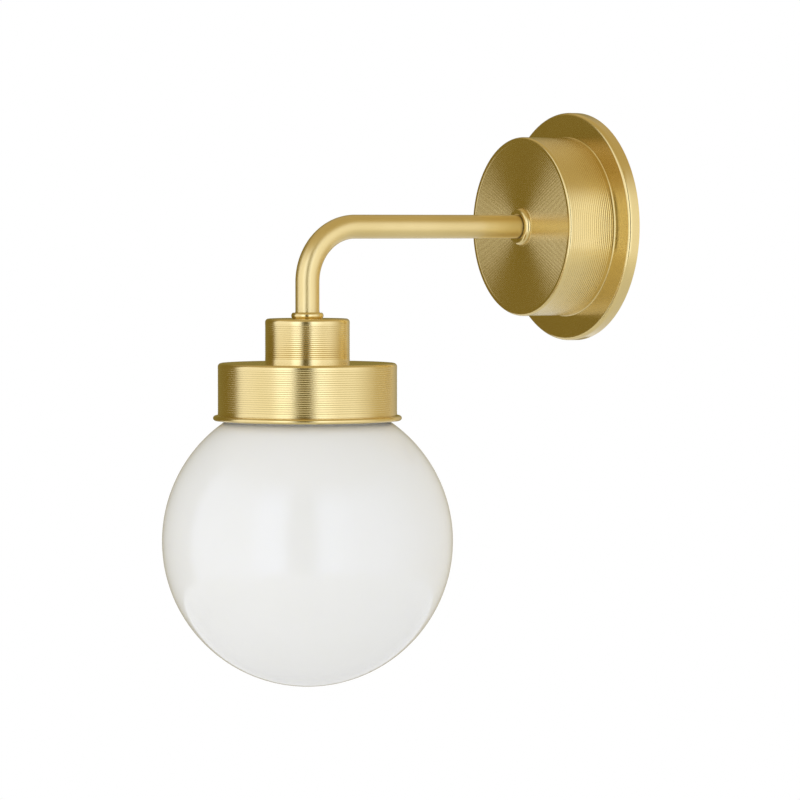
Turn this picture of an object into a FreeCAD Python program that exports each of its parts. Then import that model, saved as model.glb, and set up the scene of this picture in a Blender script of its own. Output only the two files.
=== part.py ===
import FreeCAD, Part
import math
import os

# Globe wall sconce: a round ribbed canopy on the wall, a bent tube, a ribbed glass holder and an opal globe.
# Millimetres. The wall is the plane Y = 0 and the lamp stands out from it along -Y, with +Z up.
# The origin is the centre of the base on the wall, on the axis of the horizontal part of the tube.
#
# Round pieces are outlines turned about an axis. An outline is drawn as (radius, station):
# the station of a wall piece is its distance from the wall, and that of a leg piece is its height Z.

# ---------------------------------------------------------------- driving dimensions

# wall flange, the flat pan that lies on the wall
flange_radius = 60.6
flange_depth = 6.3
flange_wall = 1.8
flange_rounding = 2.0
flange_land = 6.0

# canopy cup, the ribbed cup in front of the flange
cup_radius = 47.4
cup_height = 28.4
cup_wall = 1.6
cup_rounding = 2.3
cup_rib_count = 19
cup_rear_band = 1.8
cup_front_band = 3.0
cup_foot_ledge = 6.0
cup_foot_height = 4.0
cup_foot_rounding = 0.8
face_ring_count = 32
face_ring_pitch = 1.07
rib_height = 0.2

# domed washer that hides the end of the tube on the canopy
cover_radius = 10.0
cover_mouth_radius = 7.9
cover_recess_radius = 6.8
cover_height = 2.2
cover_floor = 0.8
cover_bulge_inset = 0.74
cover_bulge_height = 1.58

# bent tube
reach = 166.0
bend_radius = 28.5
tube_radius = 6.2
tube_end_height = -46.1

# threaded nipples, at their nominal size, and the nut on the upper one
nipple_radius = 5.0
nipple_wall = 1.1
nipple_grip = 12.0
nut_across_flats = 14.0
nut_height = 4.0
nut_stand_out = 3.8
nut_dome_radius = 6.7
tag_thickness = 0.8
tag_radius = 9.0
tag_tongue_width = 5.0
tag_tongue_end = 17.0

# bush that keeps the wires off the nipple's end
bush_flange = 1.2
bush_sleeve = 5.0
bush_bore_radius = 2.7

# steel bracket behind the flange
bracket_width = 30.0
bracket_thickness = 2.0
bracket_rim_gap = 2.8
bracket_tab_height = 4.2
bracket_bend_radius = 0.5
bracket_entry_radius = 9.0
slot_centre = 36.0
slot_length = 18.0
slot_radius = 2.3
lock_screw_radius = 1.5
lock_screw_length = 5.0
lock_screw_tip = 0.6
lock_screw_station = 2.3

# screws
canopy_screw_inset = 5.4
canopy_screw_count = 3
canopy_screw_radius = 1.5
canopy_screw_head_radius = 2.8
canopy_screw_head_height = 1.8
canopy_screw_grip = 3.4
earth_screw_radius = 2.0
earth_screw_head_radius = 3.8
earth_screw_head_height = 2.6
earth_screw_height = 18.0
earth_clamp_radius = 4.6
earth_clamp_thickness = 1.2

# terminal block on the bracket
pole_pitch = 9.0
pole_count = 3
pole_width = 6.2
block_length = 16.0
block_height = 12.0
block_base_height = 5.5
block_top = -10.2
tower_rounding = 0.8
barrel_radius = 2.2
barrel_bore_radius = 1.5
barrel_inset = 1.0
barrel_station = 6.0
clamp_screw_spacing = 8.0
clamp_screw_radius = 1.2
clamp_screw_head_radius = 1.9
clamp_screw_head_height = 1.8
clamp_well_radius = 2.2
fixing_screw_radius = 1.3
fixing_screw_head_radius = 1.9
fixing_screw_head_height = 1.4

# wires
wire_radius = 1.0
wire_core_radius = 0.45
wire_core_length = 5.0
wire_stop = 0.4
wire_offset = 1.15
wire_run_out = 7.0
wire_drop = 2.0
post_bend = 4.6
canopy_bend = 9.0
block_bend = 6.0

# bead collar between the tube and the small cap
bead_radius = 8.35
bead_height = 3.0
bead_flare = 2.7
bead_floor = 1.2
bead_bulge = 0.7
flare_edge = 0.3
flare_waist_out = 0.4
flare_waist_height = 1.1

# small ribbed cap over the lampholder
small_cap_radius = 21.8
small_cap_height = 22.9
small_cap_wall = 1.2
small_cap_rounding = 1.8
small_cap_rib_count = 17
small_cap_top_band = 2.8
small_cap_bottom_band = 2.2

# large ribbed cap that holds the globe
large_cap_height = 28.7
large_cap_wall = 1.2
large_cap_rounding = 1.8
large_cap_rib_count = 21
large_cap_top_band = 2.4
large_cap_bottom_band = 3.6
rolled_bead_radius = 1.3
rolled_bead_reach = 2.45
rolled_bead_tuck = 0.5
cap_inner_rounding = 0.8

# lampholder
dome_tower_radius = 8.0
dome_tower_height = 3.0
dome_boss_height = 2.0
dome_radius = 19.8
dome_wall = 1.6
dome_shoulder = 7.0
dome_bulge_out = 8.5
dome_bulge_drop = 2.1
dome_bulge_wall = 1.2
dome_seam = 3.0
skirt_radius = 18.5
skirt_length = 29.0
skirt_bore_radius = 14.4
skirt_sleeve_height = 5.0
insert_radius = 16.4
insert_height = 7.5
insert_seat = 2.3
shell_radius = 13.7
shell_wall = 0.35
shell_length = 21.0
shell_rim = 5.5
post_start = 7.0
post_length = 5.5
post_width = 6.0
post_height = 4.6
post_wire_height = 2.0
post_screw_radius = 1.25
post_screw_head_radius = 2.2
post_screw_head_height = 1.4
leaf_width = 5.0
leaf_thickness = 0.5
leaf_root = 6.5
leaf_knee = 3.5
leaf_tail_radius = 3.0
leaf_tail_turn = 40.0
leaf_gap = 0.1

# ring that clamps the large cap on the lampholder
shade_ring_radius = 27.0
shade_ring_flange = 2.0
shade_ring_height = 7.0
shade_ring_hub_radius = 21.5
shade_ring_notch_count = 12
shade_ring_notch_radius = 1.2

# threaded ring that the globe's neck screws into
thread_ring_bottom_inset = 1.9
thread_ring_height = 16.0
thread_ring_wall = 2.1
thread_ring_lip = 2.0
thread_ring_lip_reach = 3.6

# opal globe with its seal
globe_radius = 75.0
globe_wall = 2.6
neck_radius = 42.25
neck_length = 15.13
neck_clearance = 0.35
neck_fillet = 2.0
neck_lip_rounding = 0.8
seal_thickness = 2.0
seal_width = 3.2

# bulb
bulb_length = 107.0
bulb_radius = 30.0
bulb_cap_radius = 13.15
bulb_cap_length = 20.0
bulb_button_radius = 5.0
bulb_button_height = 1.5
button_edge_radius = 3.75
button_edge_drop = 0.45
button_flat_radius = 1.5
bulb_insulator_height = 2.5
insulator_edge_inset = 2.0
insulator_button_gap = 0.6
bulb_collar_radius = 14.0
bulb_collar_height = 3.0
bulb_cap_wall = 0.4
bulb_cap_chamfer = 0.8
bulb_cap_top_wall = 1.0
bulb_wall = 0.9
bulb_shoulder = 28.0
bulb_waist_length = 4.0
bulb_flank_in = 1.2
bulb_flank_up = 0.6
bulb_seat_height = 1.5
bulb_seat_step = 0.5
contact_gap = 3.5

# clearances
thread_gap = 0.05
slip_gap = 0.1
screw_clearance = 0.2
running_gap = 0.15

# ---------------------------------------------------------------- places that follow

X = FreeCAD.Vector(1, 0, 0)
Y = FreeCAD.Vector(0, 1, 0)
Z = FreeCAD.Vector(0, 0, 1)
ORIGIN = FreeCAD.Vector(0, 0, 0)
LEG = FreeCAD.Vector(0, -reach, 0)

flange_web = flange_depth - flange_wall
canopy_screw_circle = cup_radius - canopy_screw_inset
flange_opening_radius = canopy_screw_circle - flange_land
bracket_half_length = flange_radius - flange_wall - bracket_rim_gap
cup_face = flange_depth + cup_height
cup_plate = cup_face - cup_wall
tube_start = cup_face + cover_floor
tag_station = cup_plate - tag_thickness
nut_station = tag_station - nut_height
nipple_start = nut_station - nut_stand_out
bush_station = nipple_start - bush_flange

collar_bottom = tube_end_height - bead_floor
small_cap_top = collar_bottom
small_cap_bottom = small_cap_top - small_cap_height
dome_top = small_cap_top - small_cap_wall
dome_bottom = small_cap_bottom + dome_seam
holder_nipple_bottom = dome_top - dome_tower_height - dome_boss_height
insert_bottom = dome_bottom - insert_seat
insert_top = insert_bottom + insert_height
shell_bottom = insert_bottom - shell_length
post_wire_level = insert_top + post_wire_height

thread_ring_bore = neck_radius + neck_clearance
thread_ring_radius = thread_ring_bore + thread_ring_wall
large_cap_bore = thread_ring_radius + slip_gap
large_cap_radius = large_cap_bore + large_cap_wall + rib_height
large_cap_top = small_cap_bottom
large_cap_bottom = large_cap_top - large_cap_height
large_cap_plate = large_cap_top - large_cap_wall
thread_ring_bottom = large_cap_bottom + thread_ring_bottom_inset
thread_ring_top = thread_ring_bottom + thread_ring_height
thread_ring_shelf = thread_ring_top - thread_ring_lip
neck_top = thread_ring_shelf - seal_thickness
neck_rise = math.sqrt(globe_radius ** 2 - neck_radius ** 2)
globe_centre_height = neck_top - neck_length - neck_rise
bulb_top = insert_bottom - contact_gap

block_bottom = block_top - block_length
block_middle = 0.5 * (block_top + block_bottom)
barrel_level = bracket_thickness + barrel_station
pole_places = [(i - 0.5 * (pole_count - 1)) * pole_pitch for i in range(pole_count)]


# ---------------------------------------------------------------- drawing helpers

class Outline:
    """A closed outline of lines and arcs in (radius, station), grown point by point."""

    def __init__(self, radius, station):
        self.start = (radius, station)
        self.end = self.start
        self.edges = []

    def line(self, radius, station):
        if math.hypot(radius - self.end[0], station - self.end[1]) > 1e-6:
            self.edges.append(Part.LineSegment(vector(*self.end), vector(radius, station)).toShape())
            self.end = (radius, station)
        return self

    def arc(self, via, end):
        self.edges.append(Part.Arc(vector(*self.end), vector(*via), vector(*end)).toShape())
        self.end = end
        return self

    def bend(self, centre, radius, from_angle, to_angle):
        """Run a line to the start of a circular arc, and then follow the arc; angles in degrees."""
        self.line(*on_circle(centre, radius, from_angle))
        middle = 0.5 * (from_angle + to_angle)
        return self.arc(on_circle(centre, radius, middle), on_circle(centre, radius, to_angle))

    def ribs(self, radius, station, count, depth):
        """Follow count V ribs to the given point; crests lie on the straight way, valleys to its right."""
        first = self.end
        along = (radius - first[0], station - first[1])
        length = math.hypot(*along)
        inward = (along[1] / length * depth, -along[0] / length * depth)
        for i in range(count):
            low = i / count
            crest = (i + 0.5) / count
            self.line(first[0] + along[0] * low + inward[0], first[1] + along[1] * low + inward[1])
            self.line(first[0] + along[0] * crest, first[1] + along[1] * crest)
        self.line(radius + inward[0], station + inward[1])
        return self.line(radius, station)

    def turned(self):
        """The solid that the closed outline makes when it is turned once about the Z axis."""
        self.line(*self.start)
        face = Part.Face(Part.Wire(self.edges))
        return face.revolve(ORIGIN, Z, 360)


def vector(radius, station):
    return FreeCAD.Vector(radius, 0, station)


def on_circle(centre, radius, angle):
    turn = math.radians(angle)
    return (centre[0] + radius * math.cos(turn), centre[1] + radius * math.sin(turn))


def out_of_wall(shape):
    """Lay a piece that was drawn along +Z so that its stations run from the wall, along -Y."""
    return shape.rotated(ORIGIN, X, 90)


def on_leg(shape):
    """Move a piece that was drawn about the Z axis to the axis of the leg."""
    return shape.translated(LEG)


def rod(radius, start, length, direction):
    return Part.makeCylinder(radius, length, start, direction)


def block(x_low, x_high, y_low, y_high, z_low, z_high):
    corner = FreeCAD.Vector(x_low, y_low, z_low)
    return Part.makeBox(x_high - x_low, y_high - y_low, z_high - z_low, corner)


def ring(outer, inner, low, high):
    return Outline(inner, low).line(outer, low).line(outer, high).line(inner, high).turned()


def save(name, shapes):
    shape = shapes[0] if len(shapes) == 1 else Part.makeCompound(shapes)
    shape.exportStep("parts/" + name + ".step")
    print(name, len(shape.Solids), round(shape.Volume, 1))


# ---------------------------------------------------------------- base on the wall

def canopy_screw_places():
    """The three screw places round the base, clear of the upright bracket; (x, z) pairs."""
    turns = [2 * math.pi * i / canopy_screw_count for i in range(canopy_screw_count)]
    return [(canopy_screw_circle * math.cos(t), canopy_screw_circle * math.sin(t)) for t in turns]


def wall_flange():
    corner = (flange_radius - flange_rounding, flange_depth - flange_rounding)
    outline = Outline(flange_opening_radius, flange_web)
    outline.line(flange_opening_radius, flange_depth)
    outline.bend(corner, flange_rounding, 90, 0)
    outline.line(flange_radius, 0)
    outline.line(flange_radius - flange_wall, 0)
    outline.line(flange_radius - flange_wall, flange_web)
    flange = out_of_wall(outline.turned())
    for x, z in canopy_screw_places():
        start = FreeCAD.Vector(x, 0, z)
        flange = flange.cut(rod(canopy_screw_radius + screw_clearance, start, 2 * flange_depth, -Y))
    across = FreeCAD.Vector(0, -lock_screw_station, -2 * flange_radius)
    return flange.cut(rod(lock_screw_radius + thread_gap, across, 4 * flange_radius, Z))


def mounting_bracket():
    """A strap with both ends bent forward, drawn from the side and pushed across its width."""
    end = bracket_half_length
    outer = bracket_thickness + bracket_bend_radius
    inner = bracket_bend_radius
    side = Outline(0, 0)
    side.bend((end - outer, outer), outer, -90, 0)
    side.line(end, bracket_tab_height)
    side.line(end - bracket_thickness, bracket_tab_height)
    side.bend((end - outer, outer), inner, 0, -90)
    side.line(0, bracket_thickness)
    side.line(*side.start)
    half = Part.Face(Part.Wire(side.edges))
    # the side view was drawn as (height, distance from the wall): height now points up, distance out
    half = half.rotated(ORIGIN, Y, -90).rotated(ORIGIN, Z, 90)
    upper = half.translated(X * (-0.5 * bracket_width)).extrude(X * bracket_width)
    lower = upper.mirror(ORIGIN, Z)
    strap = upper.fuse(lower).removeSplitter()
    for sign in (-1, 1):
        strap = strap.cut(wall_slot(sign * slot_centre))
    strap = strap.cut(rod(bracket_entry_radius, ORIGIN, bracket_thickness, -Y))
    strap = strap.cut(rod(earth_screw_radius + thread_gap, Z * earth_screw_height, bracket_thickness, -Y))
    fixing = FreeCAD.Vector(fixing_screw_x(), 0, block_middle)
    strap = strap.cut(rod(fixing_screw_radius + thread_gap, fixing, bracket_thickness, -Y))
    across = FreeCAD.Vector(0, -lock_screw_station, -2 * bracket_half_length)
    return strap.cut(rod(lock_screw_radius + screw_clearance, across, 4 * bracket_half_length, Z))


def wall_slot(height):
    """An upright slot through the bracket for one wall screw."""
    straight = 0.5 * slot_length - slot_radius
    depth = 3 * bracket_thickness
    back = -0.5 * depth
    shape = block(-slot_radius, slot_radius, back, -back, height - straight, height + straight)
    for end in (-straight, straight):
        shape = shape.fuse(rod(slot_radius, FreeCAD.Vector(0, -back, height + end), depth, -Y))
    return shape


def lock_screws():
    """Two grub screws through the top and the bottom of the rim into the bracket's tabs."""
    start = flange_radius - lock_screw_length - slip_gap
    outline = Outline(0, start)
    outline.line(lock_screw_radius - lock_screw_tip, start)
    outline.line(lock_screw_radius, start + lock_screw_tip)
    outline.line(lock_screw_radius, start + lock_screw_length)
    outline.line(0.5 * lock_screw_radius, start + lock_screw_length)
    outline.line(0.5 * lock_screw_radius, start + lock_screw_length - lock_screw_radius)
    outline.line(0, start + lock_screw_length - lock_screw_radius)
    upper = outline.turned().translated(-Y * lock_screw_station)
    return [upper, upper.mirror(ORIGIN, Z)]


def canopy_cup():
    side = cup_radius
    corner = (side - cup_rounding, cup_face - cup_rounding)
    foot = flange_depth
    first_rib = foot + cup_rear_band
    last_rib = cup_face - cup_front_band
    ring_start = cover_radius + 0.5 * face_ring_pitch
    ring_end = ring_start + face_ring_count * face_ring_pitch
    bore = side - rib_height - cup_wall
    outline = Outline(nipple_radius + slip_gap, cup_plate)
    outline.line(nipple_radius + slip_gap, cup_face)
    outline.line(ring_start, cup_face)
    outline.ribs(ring_end, cup_face, face_ring_count, rib_height)
    outline.bend(corner, cup_rounding, 90, 0)
    outline.line(side, last_rib)
    outline.ribs(side, first_rib, cup_rib_count, rib_height)
    outline.bend((side - cup_foot_rounding, foot + cup_foot_rounding), cup_foot_rounding, 0, -90)
    outline.line(bore - cup_foot_ledge, foot)
    outline.line(bore - cup_foot_ledge, foot + cup_foot_height)
    outline.line(bore, foot + cup_foot_height)
    outline.line(bore, cup_plate)
    cup = out_of_wall(outline.turned())
    for x, z in canopy_screw_places():
        start = FreeCAD.Vector(x, 0, z)
        deep = foot + canopy_screw_grip + screw_clearance
        cup = cup.cut(rod(canopy_screw_radius + thread_gap, start, deep, -Y))
    return cup


def canopy_screws():
    """Screws that hold the cup to the flange from behind."""
    head = flange_web - canopy_screw_head_height
    outline = Outline(0, head)
    outline.line(canopy_screw_head_radius, head)
    outline.line(canopy_screw_head_radius, flange_web)
    outline.line(canopy_screw_radius, flange_web)
    outline.line(canopy_screw_radius, flange_depth + canopy_screw_grip)
    outline.line(0, flange_depth + canopy_screw_grip)
    screw = out_of_wall(outline.turned())
    return [screw.translated(FreeCAD.Vector(x, 0, z)) for x, z in canopy_screw_places()]


def canopy_cover():
    """The domed washer: its floor is clamped under the tube's end and its rim stands round the tube."""
    rim = cup_face + cover_height
    bulge = (cover_radius - cover_bulge_inset, cup_face + cover_bulge_height)
    outline = Outline(nipple_radius + slip_gap, cup_face)
    outline.line(cover_radius, cup_face)
    outline.arc(bulge, (cover_mouth_radius, rim))
    outline.line(cover_recess_radius, rim)
    outline.line(cover_recess_radius, tube_start)
    outline.line(nipple_radius + slip_gap, tube_start)
    return out_of_wall(outline.turned())


# ---------------------------------------------------------------- bent tube and what clamps it

def arm_path():
    """The middle line of the tube, and of the wires in it, from the canopy to the end of the leg."""
    start = FreeCAD.Vector(0, -tube_start, 0)
    bend_start = FreeCAD.Vector(0, -(reach - bend_radius), 0)
    bend_end = FreeCAD.Vector(0, -reach, -bend_radius)
    low = bend_radius * (1 - math.cos(math.radians(45)))
    along = bend_radius * math.sin(math.radians(45))
    bend_middle = FreeCAD.Vector(0, -(reach - bend_radius + along), -low)
    end = FreeCAD.Vector(0, -reach, tube_end_height)
    line = Part.LineSegment(start, bend_start).toShape()
    curve = Part.Arc(bend_start, bend_middle, bend_end).toShape()
    leg = Part.LineSegment(bend_end, end).toShape()
    return Part.Wire([line, curve, leg])


def swept(path, start, direction, radius):
    """A round bar along a path, from a circle that stands square on the path's start."""
    circle = Part.Wire(Part.makeCircle(radius, start, direction))
    return path.makePipeShell([circle], True, False)


def arm_tube():
    start = FreeCAD.Vector(0, -tube_start, 0)
    path = arm_path()
    return swept(path, start, -Y, tube_radius).cut(swept(path, start, -Y, nipple_radius + thread_gap))


def canopy_nipple():
    bore = nipple_radius - nipple_wall
    return out_of_wall(ring(nipple_radius, bore, nipple_start, tube_start + nipple_grip))


def canopy_nut():
    """A thin hexagon nut with its corners chamfered towards the wall."""
    corner = nut_across_flats / math.sqrt(3)
    angles = [math.radians(60 * i) for i in range(7)]
    points = [FreeCAD.Vector(corner * math.cos(a), corner * math.sin(a), nut_station) for a in angles]
    nut = Part.Face(Part.makePolygon(points)).extrude(Z * nut_height)
    dome = Outline(0, nut_station)
    dome.line(nut_dome_radius, nut_station)
    dome.line(corner, nut_station + 0.5 * (corner - nut_dome_radius))
    dome.line(corner, nut_station + nut_height)
    dome.line(0, nut_station + nut_height)
    nut = nut.common(dome.turned())
    return out_of_wall(nut.cut(rod(nipple_radius + thread_gap, Z * nut_station, nut_height, Z)))


def earth_tag():
    """A ring under the nut with a tongue towards -X for the earth wire."""
    body = rod(tag_radius, Z * tag_station, tag_thickness, Z)
    half = 0.5 * tag_tongue_width
    tongue = block(-tag_tongue_end, 0, -half, half, tag_station, tag_station + tag_thickness)
    body = body.fuse(tongue).removeSplitter()
    return out_of_wall(body.cut(rod(nipple_radius + slip_gap, Z * tag_station, tag_thickness, Z)))


def wire_bush():
    bore = nipple_radius - nipple_wall
    outline = Outline(bush_bore_radius, bush_station)
    outline.line(nipple_radius, bush_station)
    outline.line(nipple_radius, nipple_start)
    outline.line(bore - slip_gap, nipple_start)
    outline.line(bore - slip_gap, nipple_start + bush_sleeve)
    outline.line(bush_bore_radius, nipple_start + bush_sleeve)
    return out_of_wall(outline.turned())


# ---------------------------------------------------------------- terminals and wires

def fixing_screw_x():
    return 0.5 * (pole_places[0] + pole_places[1])


def clamp_screw_heights():
    return [block_middle + sign * 0.5 * clamp_screw_spacing for sign in (-1, 1)]


def terminal_block():
    """A moulded strip: one tower for each pole on a low base, with a well over each clamp screw."""
    foot = bracket_thickness
    half = 0.5 * (pole_count - 1) * pole_pitch + 0.5 * pole_pitch
    body = block(-half, half, -foot - block_base_height, -foot, block_bottom, block_top)
    for x in pole_places:
        half_pole = 0.5 * pole_width
        tower = block(x - half_pole, x + half_pole, -foot - block_height, -foot, block_bottom, block_top)
        edges = [e for e in tower.Edges if front_edge(e, foot + block_height)]
        body = body.fuse(tower.makeFillet(tower_rounding, edges))
    body = body.removeSplitter()
    for x in pole_places:
        start = FreeCAD.Vector(x, -barrel_level, block_bottom)
        body = body.cut(rod(barrel_radius + thread_gap, start, block_length, Z))
        for z in clamp_screw_heights():
            well = FreeCAD.Vector(x, -barrel_level, z)
            body = body.cut(rod(clamp_well_radius, well, block_height, -Y))
    start = FreeCAD.Vector(fixing_screw_x(), 0, block_middle)
    seat = FreeCAD.Vector(fixing_screw_x(), -foot - block_base_height, block_middle)
    body = body.cut(rod(fixing_screw_radius + screw_clearance, start, 2 * block_height, -Y))
    return body.cut(rod(fixing_screw_head_radius + running_gap, seat, block_height, -Y))


def front_edge(edge, station):
    """Whether an edge runs up the front of a tower, on the side away from the wall."""
    box = edge.BoundBox
    return abs(box.YMin + station) < 1e-6 and box.YLength < 1e-6 and box.ZLength > 1


def terminal_barrels():
    """Brass tubes, one in each pole, with two clamp screw holes."""
    barrels = []
    for x in pole_places:
        start = FreeCAD.Vector(x, -barrel_level, block_bottom + barrel_inset)
        length = block_length - 2 * barrel_inset
        barrel = rod(barrel_radius, start, length, Z).cut(rod(barrel_bore_radius, start, length, Z))
        for z in clamp_screw_heights():
            hole = FreeCAD.Vector(x, -barrel_level, z)
            barrel = barrel.cut(rod(clamp_screw_radius + thread_gap, hole, 2 * barrel_radius, -Y))
        barrels.append(barrel)
    return barrels


def clamp_screws():
    """The six screws of the terminal block; each tip stands on the wire in its barrel."""
    screws = []
    seat = barrel_level + barrel_radius + slip_gap
    tip = barrel_level + wire_core_radius
    for x in pole_places:
        for z in clamp_screw_heights():
            shank = rod(clamp_screw_radius, FreeCAD.Vector(x, -tip, z), seat - tip, -Y)
            head = rod(clamp_screw_head_radius, FreeCAD.Vector(x, -seat, z), clamp_screw_head_height, -Y)
            screws.append(shank.fuse(head).removeSplitter())
    return screws


def fixing_screw():
    """The screw that holds the terminal block to the bracket, between two poles."""
    top = bracket_thickness + block_base_height
    outline = Outline(0, 0)
    outline.line(fixing_screw_radius, 0)
    outline.line(fixing_screw_radius, top)
    outline.line(fixing_screw_head_radius, top)
    outline.line(fixing_screw_head_radius, top + fixing_screw_head_height)
    outline.line(0, top + fixing_screw_head_height)
    return out_of_wall(outline.turned()).translated(FreeCAD.Vector(fixing_screw_x(), 0, block_middle))


def earth_screw():
    """The bracket's own earth screw with its clamp washer."""
    seat = bracket_thickness + earth_clamp_thickness
    outline = Outline(0, 0)
    outline.line(earth_screw_radius, 0)
    outline.line(earth_screw_radius, bracket_thickness)
    outline.line(earth_clamp_radius, bracket_thickness)
    outline.line(earth_clamp_radius, seat)
    outline.line(earth_screw_head_radius, seat)
    outline.line(earth_screw_head_radius, seat + earth_screw_head_height)
    outline.line(0, seat + earth_screw_head_height)
    return out_of_wall(outline.turned()).translated(Z * earth_screw_height)


def rounded_path(points, radii):
    """Straight runs through the points, joined by tangent arcs of the given radii at the inner points."""
    edges = []
    start = points[0]
    for before, point, after, radius in zip(points, points[1:], points[2:], radii):
        back = (before - point).normalize()
        ahead = (after - point).normalize()
        half_turn = 0.5 * (math.pi - back.getAngle(ahead))
        cut_back = radius * math.tan(half_turn)
        inner = (back + ahead).normalize()
        middle = point + inner * (radius / math.cos(half_turn) - radius)
        into = point + back * cut_back
        out = point + ahead * cut_back
        edges.append(Part.LineSegment(start, into).toShape())
        edges.append(Part.Arc(into, middle, out).toShape())
        start = out
    edges.append(Part.LineSegment(start, points[-1]).toShape())
    return Part.Wire(edges)


def wire(name, points, radii, bare_ends):
    """An insulated wire along its route; bare_ends says which of its two ends show a bare core."""
    path = rounded_path(points, radii)
    first = (points[1] - points[0]).normalize()
    last = (points[-1] - points[-2]).normalize()
    body = swept(path, points[0], first, wire_radius)
    share = body.Volume / (math.pi * wire_radius ** 2 * path.Length)
    print(name, "length", round(path.Length, 1), "volume over section times length", round(share, 5))
    for bare, end, inward in zip(bare_ends, (points[0], points[-1]), (first, -last)):
        if bare:
            start = end - inward * wire_core_length
            body = body.fuse(rod(wire_core_radius, start, 2 * wire_core_length, inward))
    return body.removeSplitter()


def lamp_wire(name, side, pole):
    """One wire from its post in the lampholder, up the leg, along the tube and down to the terminal block."""
    x = side * wire_offset
    post_x = side * (post_start - wire_stop)
    points = [
        FreeCAD.Vector(post_x, -reach, post_wire_level),
        FreeCAD.Vector(x, -reach, post_wire_level),
        FreeCAD.Vector(x, -reach, 0),
        FreeCAD.Vector(x, -(bush_station - wire_run_out), 0),
        FreeCAD.Vector(pole, -barrel_level, -wire_drop),
        FreeCAD.Vector(pole, -barrel_level, block_top + wire_stop),
    ]
    return wire(name, points, [post_bend, bend_radius, canopy_bend, block_bend], (True, True))


def earth_wire():
    """The earth wire, soldered to the tongue of the tag, to the first pole."""
    x = -0.5 * (tag_tongue_end + tag_radius)
    points = [
        FreeCAD.Vector(x, -tag_station, 0),
        FreeCAD.Vector(x, -(bush_station - wire_run_out), 0),
        FreeCAD.Vector(pole_places[0], -barrel_level, -wire_drop),
        FreeCAD.Vector(pole_places[0], -barrel_level, block_top + wire_stop),
    ]
    return wire("earth_wire", points, [canopy_bend, block_bend], (False, True))


# ---------------------------------------------------------------- leg: collar and caps

def socket_collar():
    """A bead with a flare above it, bored for the end of the tube."""
    top = collar_bottom + bead_height
    middle = collar_bottom + 0.5 * bead_height
    lip = tube_radius + slip_gap + flare_edge
    outline = Outline(nipple_radius + slip_gap, collar_bottom)
    outline.line(bead_radius - bead_bulge, collar_bottom)
    outline.arc((bead_radius, middle), (bead_radius - bead_bulge, top))
    outline.arc((lip + flare_waist_out, top + flare_waist_height), (lip, top + bead_flare))
    outline.line(tube_radius + slip_gap, top + bead_flare)
    outline.line(tube_radius + slip_gap, tube_end_height)
    outline.line(nipple_radius + slip_gap, tube_end_height)
    return on_leg(outline.turned())


def holder_nipple():
    bore = nipple_radius - nipple_wall
    return on_leg(ring(nipple_radius, bore, holder_nipple_bottom, tube_end_height + nipple_grip))


def small_cap():
    side = small_cap_radius
    bore = side - rib_height - small_cap_wall
    plate = small_cap_top - small_cap_wall
    corner = (side - small_cap_rounding, small_cap_top - small_cap_rounding)
    outline = Outline(nipple_radius + slip_gap, plate)
    outline.line(nipple_radius + slip_gap, small_cap_top)
    outline.bend(corner, small_cap_rounding, 90, 0)
    outline.line(side, small_cap_top - small_cap_top_band)
    outline.ribs(side, small_cap_bottom + small_cap_bottom_band, small_cap_rib_count, rib_height)
    outline.line(side, small_cap_bottom)
    outline.line(bore, small_cap_bottom)
    outline.bend((bore - cap_inner_rounding, plate - cap_inner_rounding), cap_inner_rounding, 0, 90)
    return on_leg(outline.turned())


def large_cap():
    """The spun cap: a flat top, a ribbed wall and the lower edge rolled outwards into a bead."""
    side = large_cap_radius
    corner = (side - large_cap_rounding, large_cap_top - large_cap_rounding)
    bead_centre = (side + rolled_bead_reach - rolled_bead_radius, large_cap_bottom + rolled_bead_radius)
    groove = bead_centre[1] + rolled_bead_radius
    start_turn = math.degrees(math.asin((rolled_bead_radius - rolled_bead_tuck) / rolled_bead_radius))
    inner = (large_cap_bore - cap_inner_rounding, large_cap_plate - cap_inner_rounding)
    outline = Outline(skirt_radius + slip_gap, large_cap_plate)
    outline.line(skirt_radius + slip_gap, large_cap_top)
    outline.bend(corner, large_cap_rounding, 90, 0)
    outline.line(side, large_cap_top - large_cap_top_band)
    outline.ribs(side, large_cap_bottom + large_cap_bottom_band, large_cap_rib_count, rib_height)
    outline.line(side, groove)
    outline.bend(bead_centre, rolled_bead_radius, 180 - start_turn, 0)
    outline.bend(bead_centre, rolled_bead_radius, 0, -90)
    outline.line(large_cap_bore, large_cap_bottom)
    outline.bend(inner, cap_inner_rounding, 0, 90)
    return on_leg(outline.turned())


# ---------------------------------------------------------------- lampholder

def holder_dome():
    """The upper half of the lampholder: a threaded tower on a rounded hood."""
    bore = dome_radius - dome_wall
    tower_foot = dome_top - dome_tower_height
    boss_foot = tower_foot - dome_boss_height
    hood_end = tower_foot - dome_shoulder
    bulge = (dome_tower_radius + dome_bulge_out, tower_foot - dome_bulge_drop)
    inner_bulge = (bulge[0] - dome_bulge_wall, bulge[1] - dome_bulge_wall)
    outline = Outline(nipple_radius + thread_gap, dome_top)
    outline.line(dome_tower_radius, dome_top)
    outline.line(dome_tower_radius, tower_foot)
    outline.arc(bulge, (dome_radius, hood_end))
    outline.line(dome_radius, dome_bottom)
    outline.line(bore, dome_bottom)
    outline.line(bore, hood_end)
    outline.arc(inner_bulge, (dome_tower_radius, tower_foot - dome_wall))
    outline.line(dome_tower_radius, boss_foot)
    outline.line(nipple_radius + thread_gap, boss_foot)
    return on_leg(outline.turned())


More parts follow.
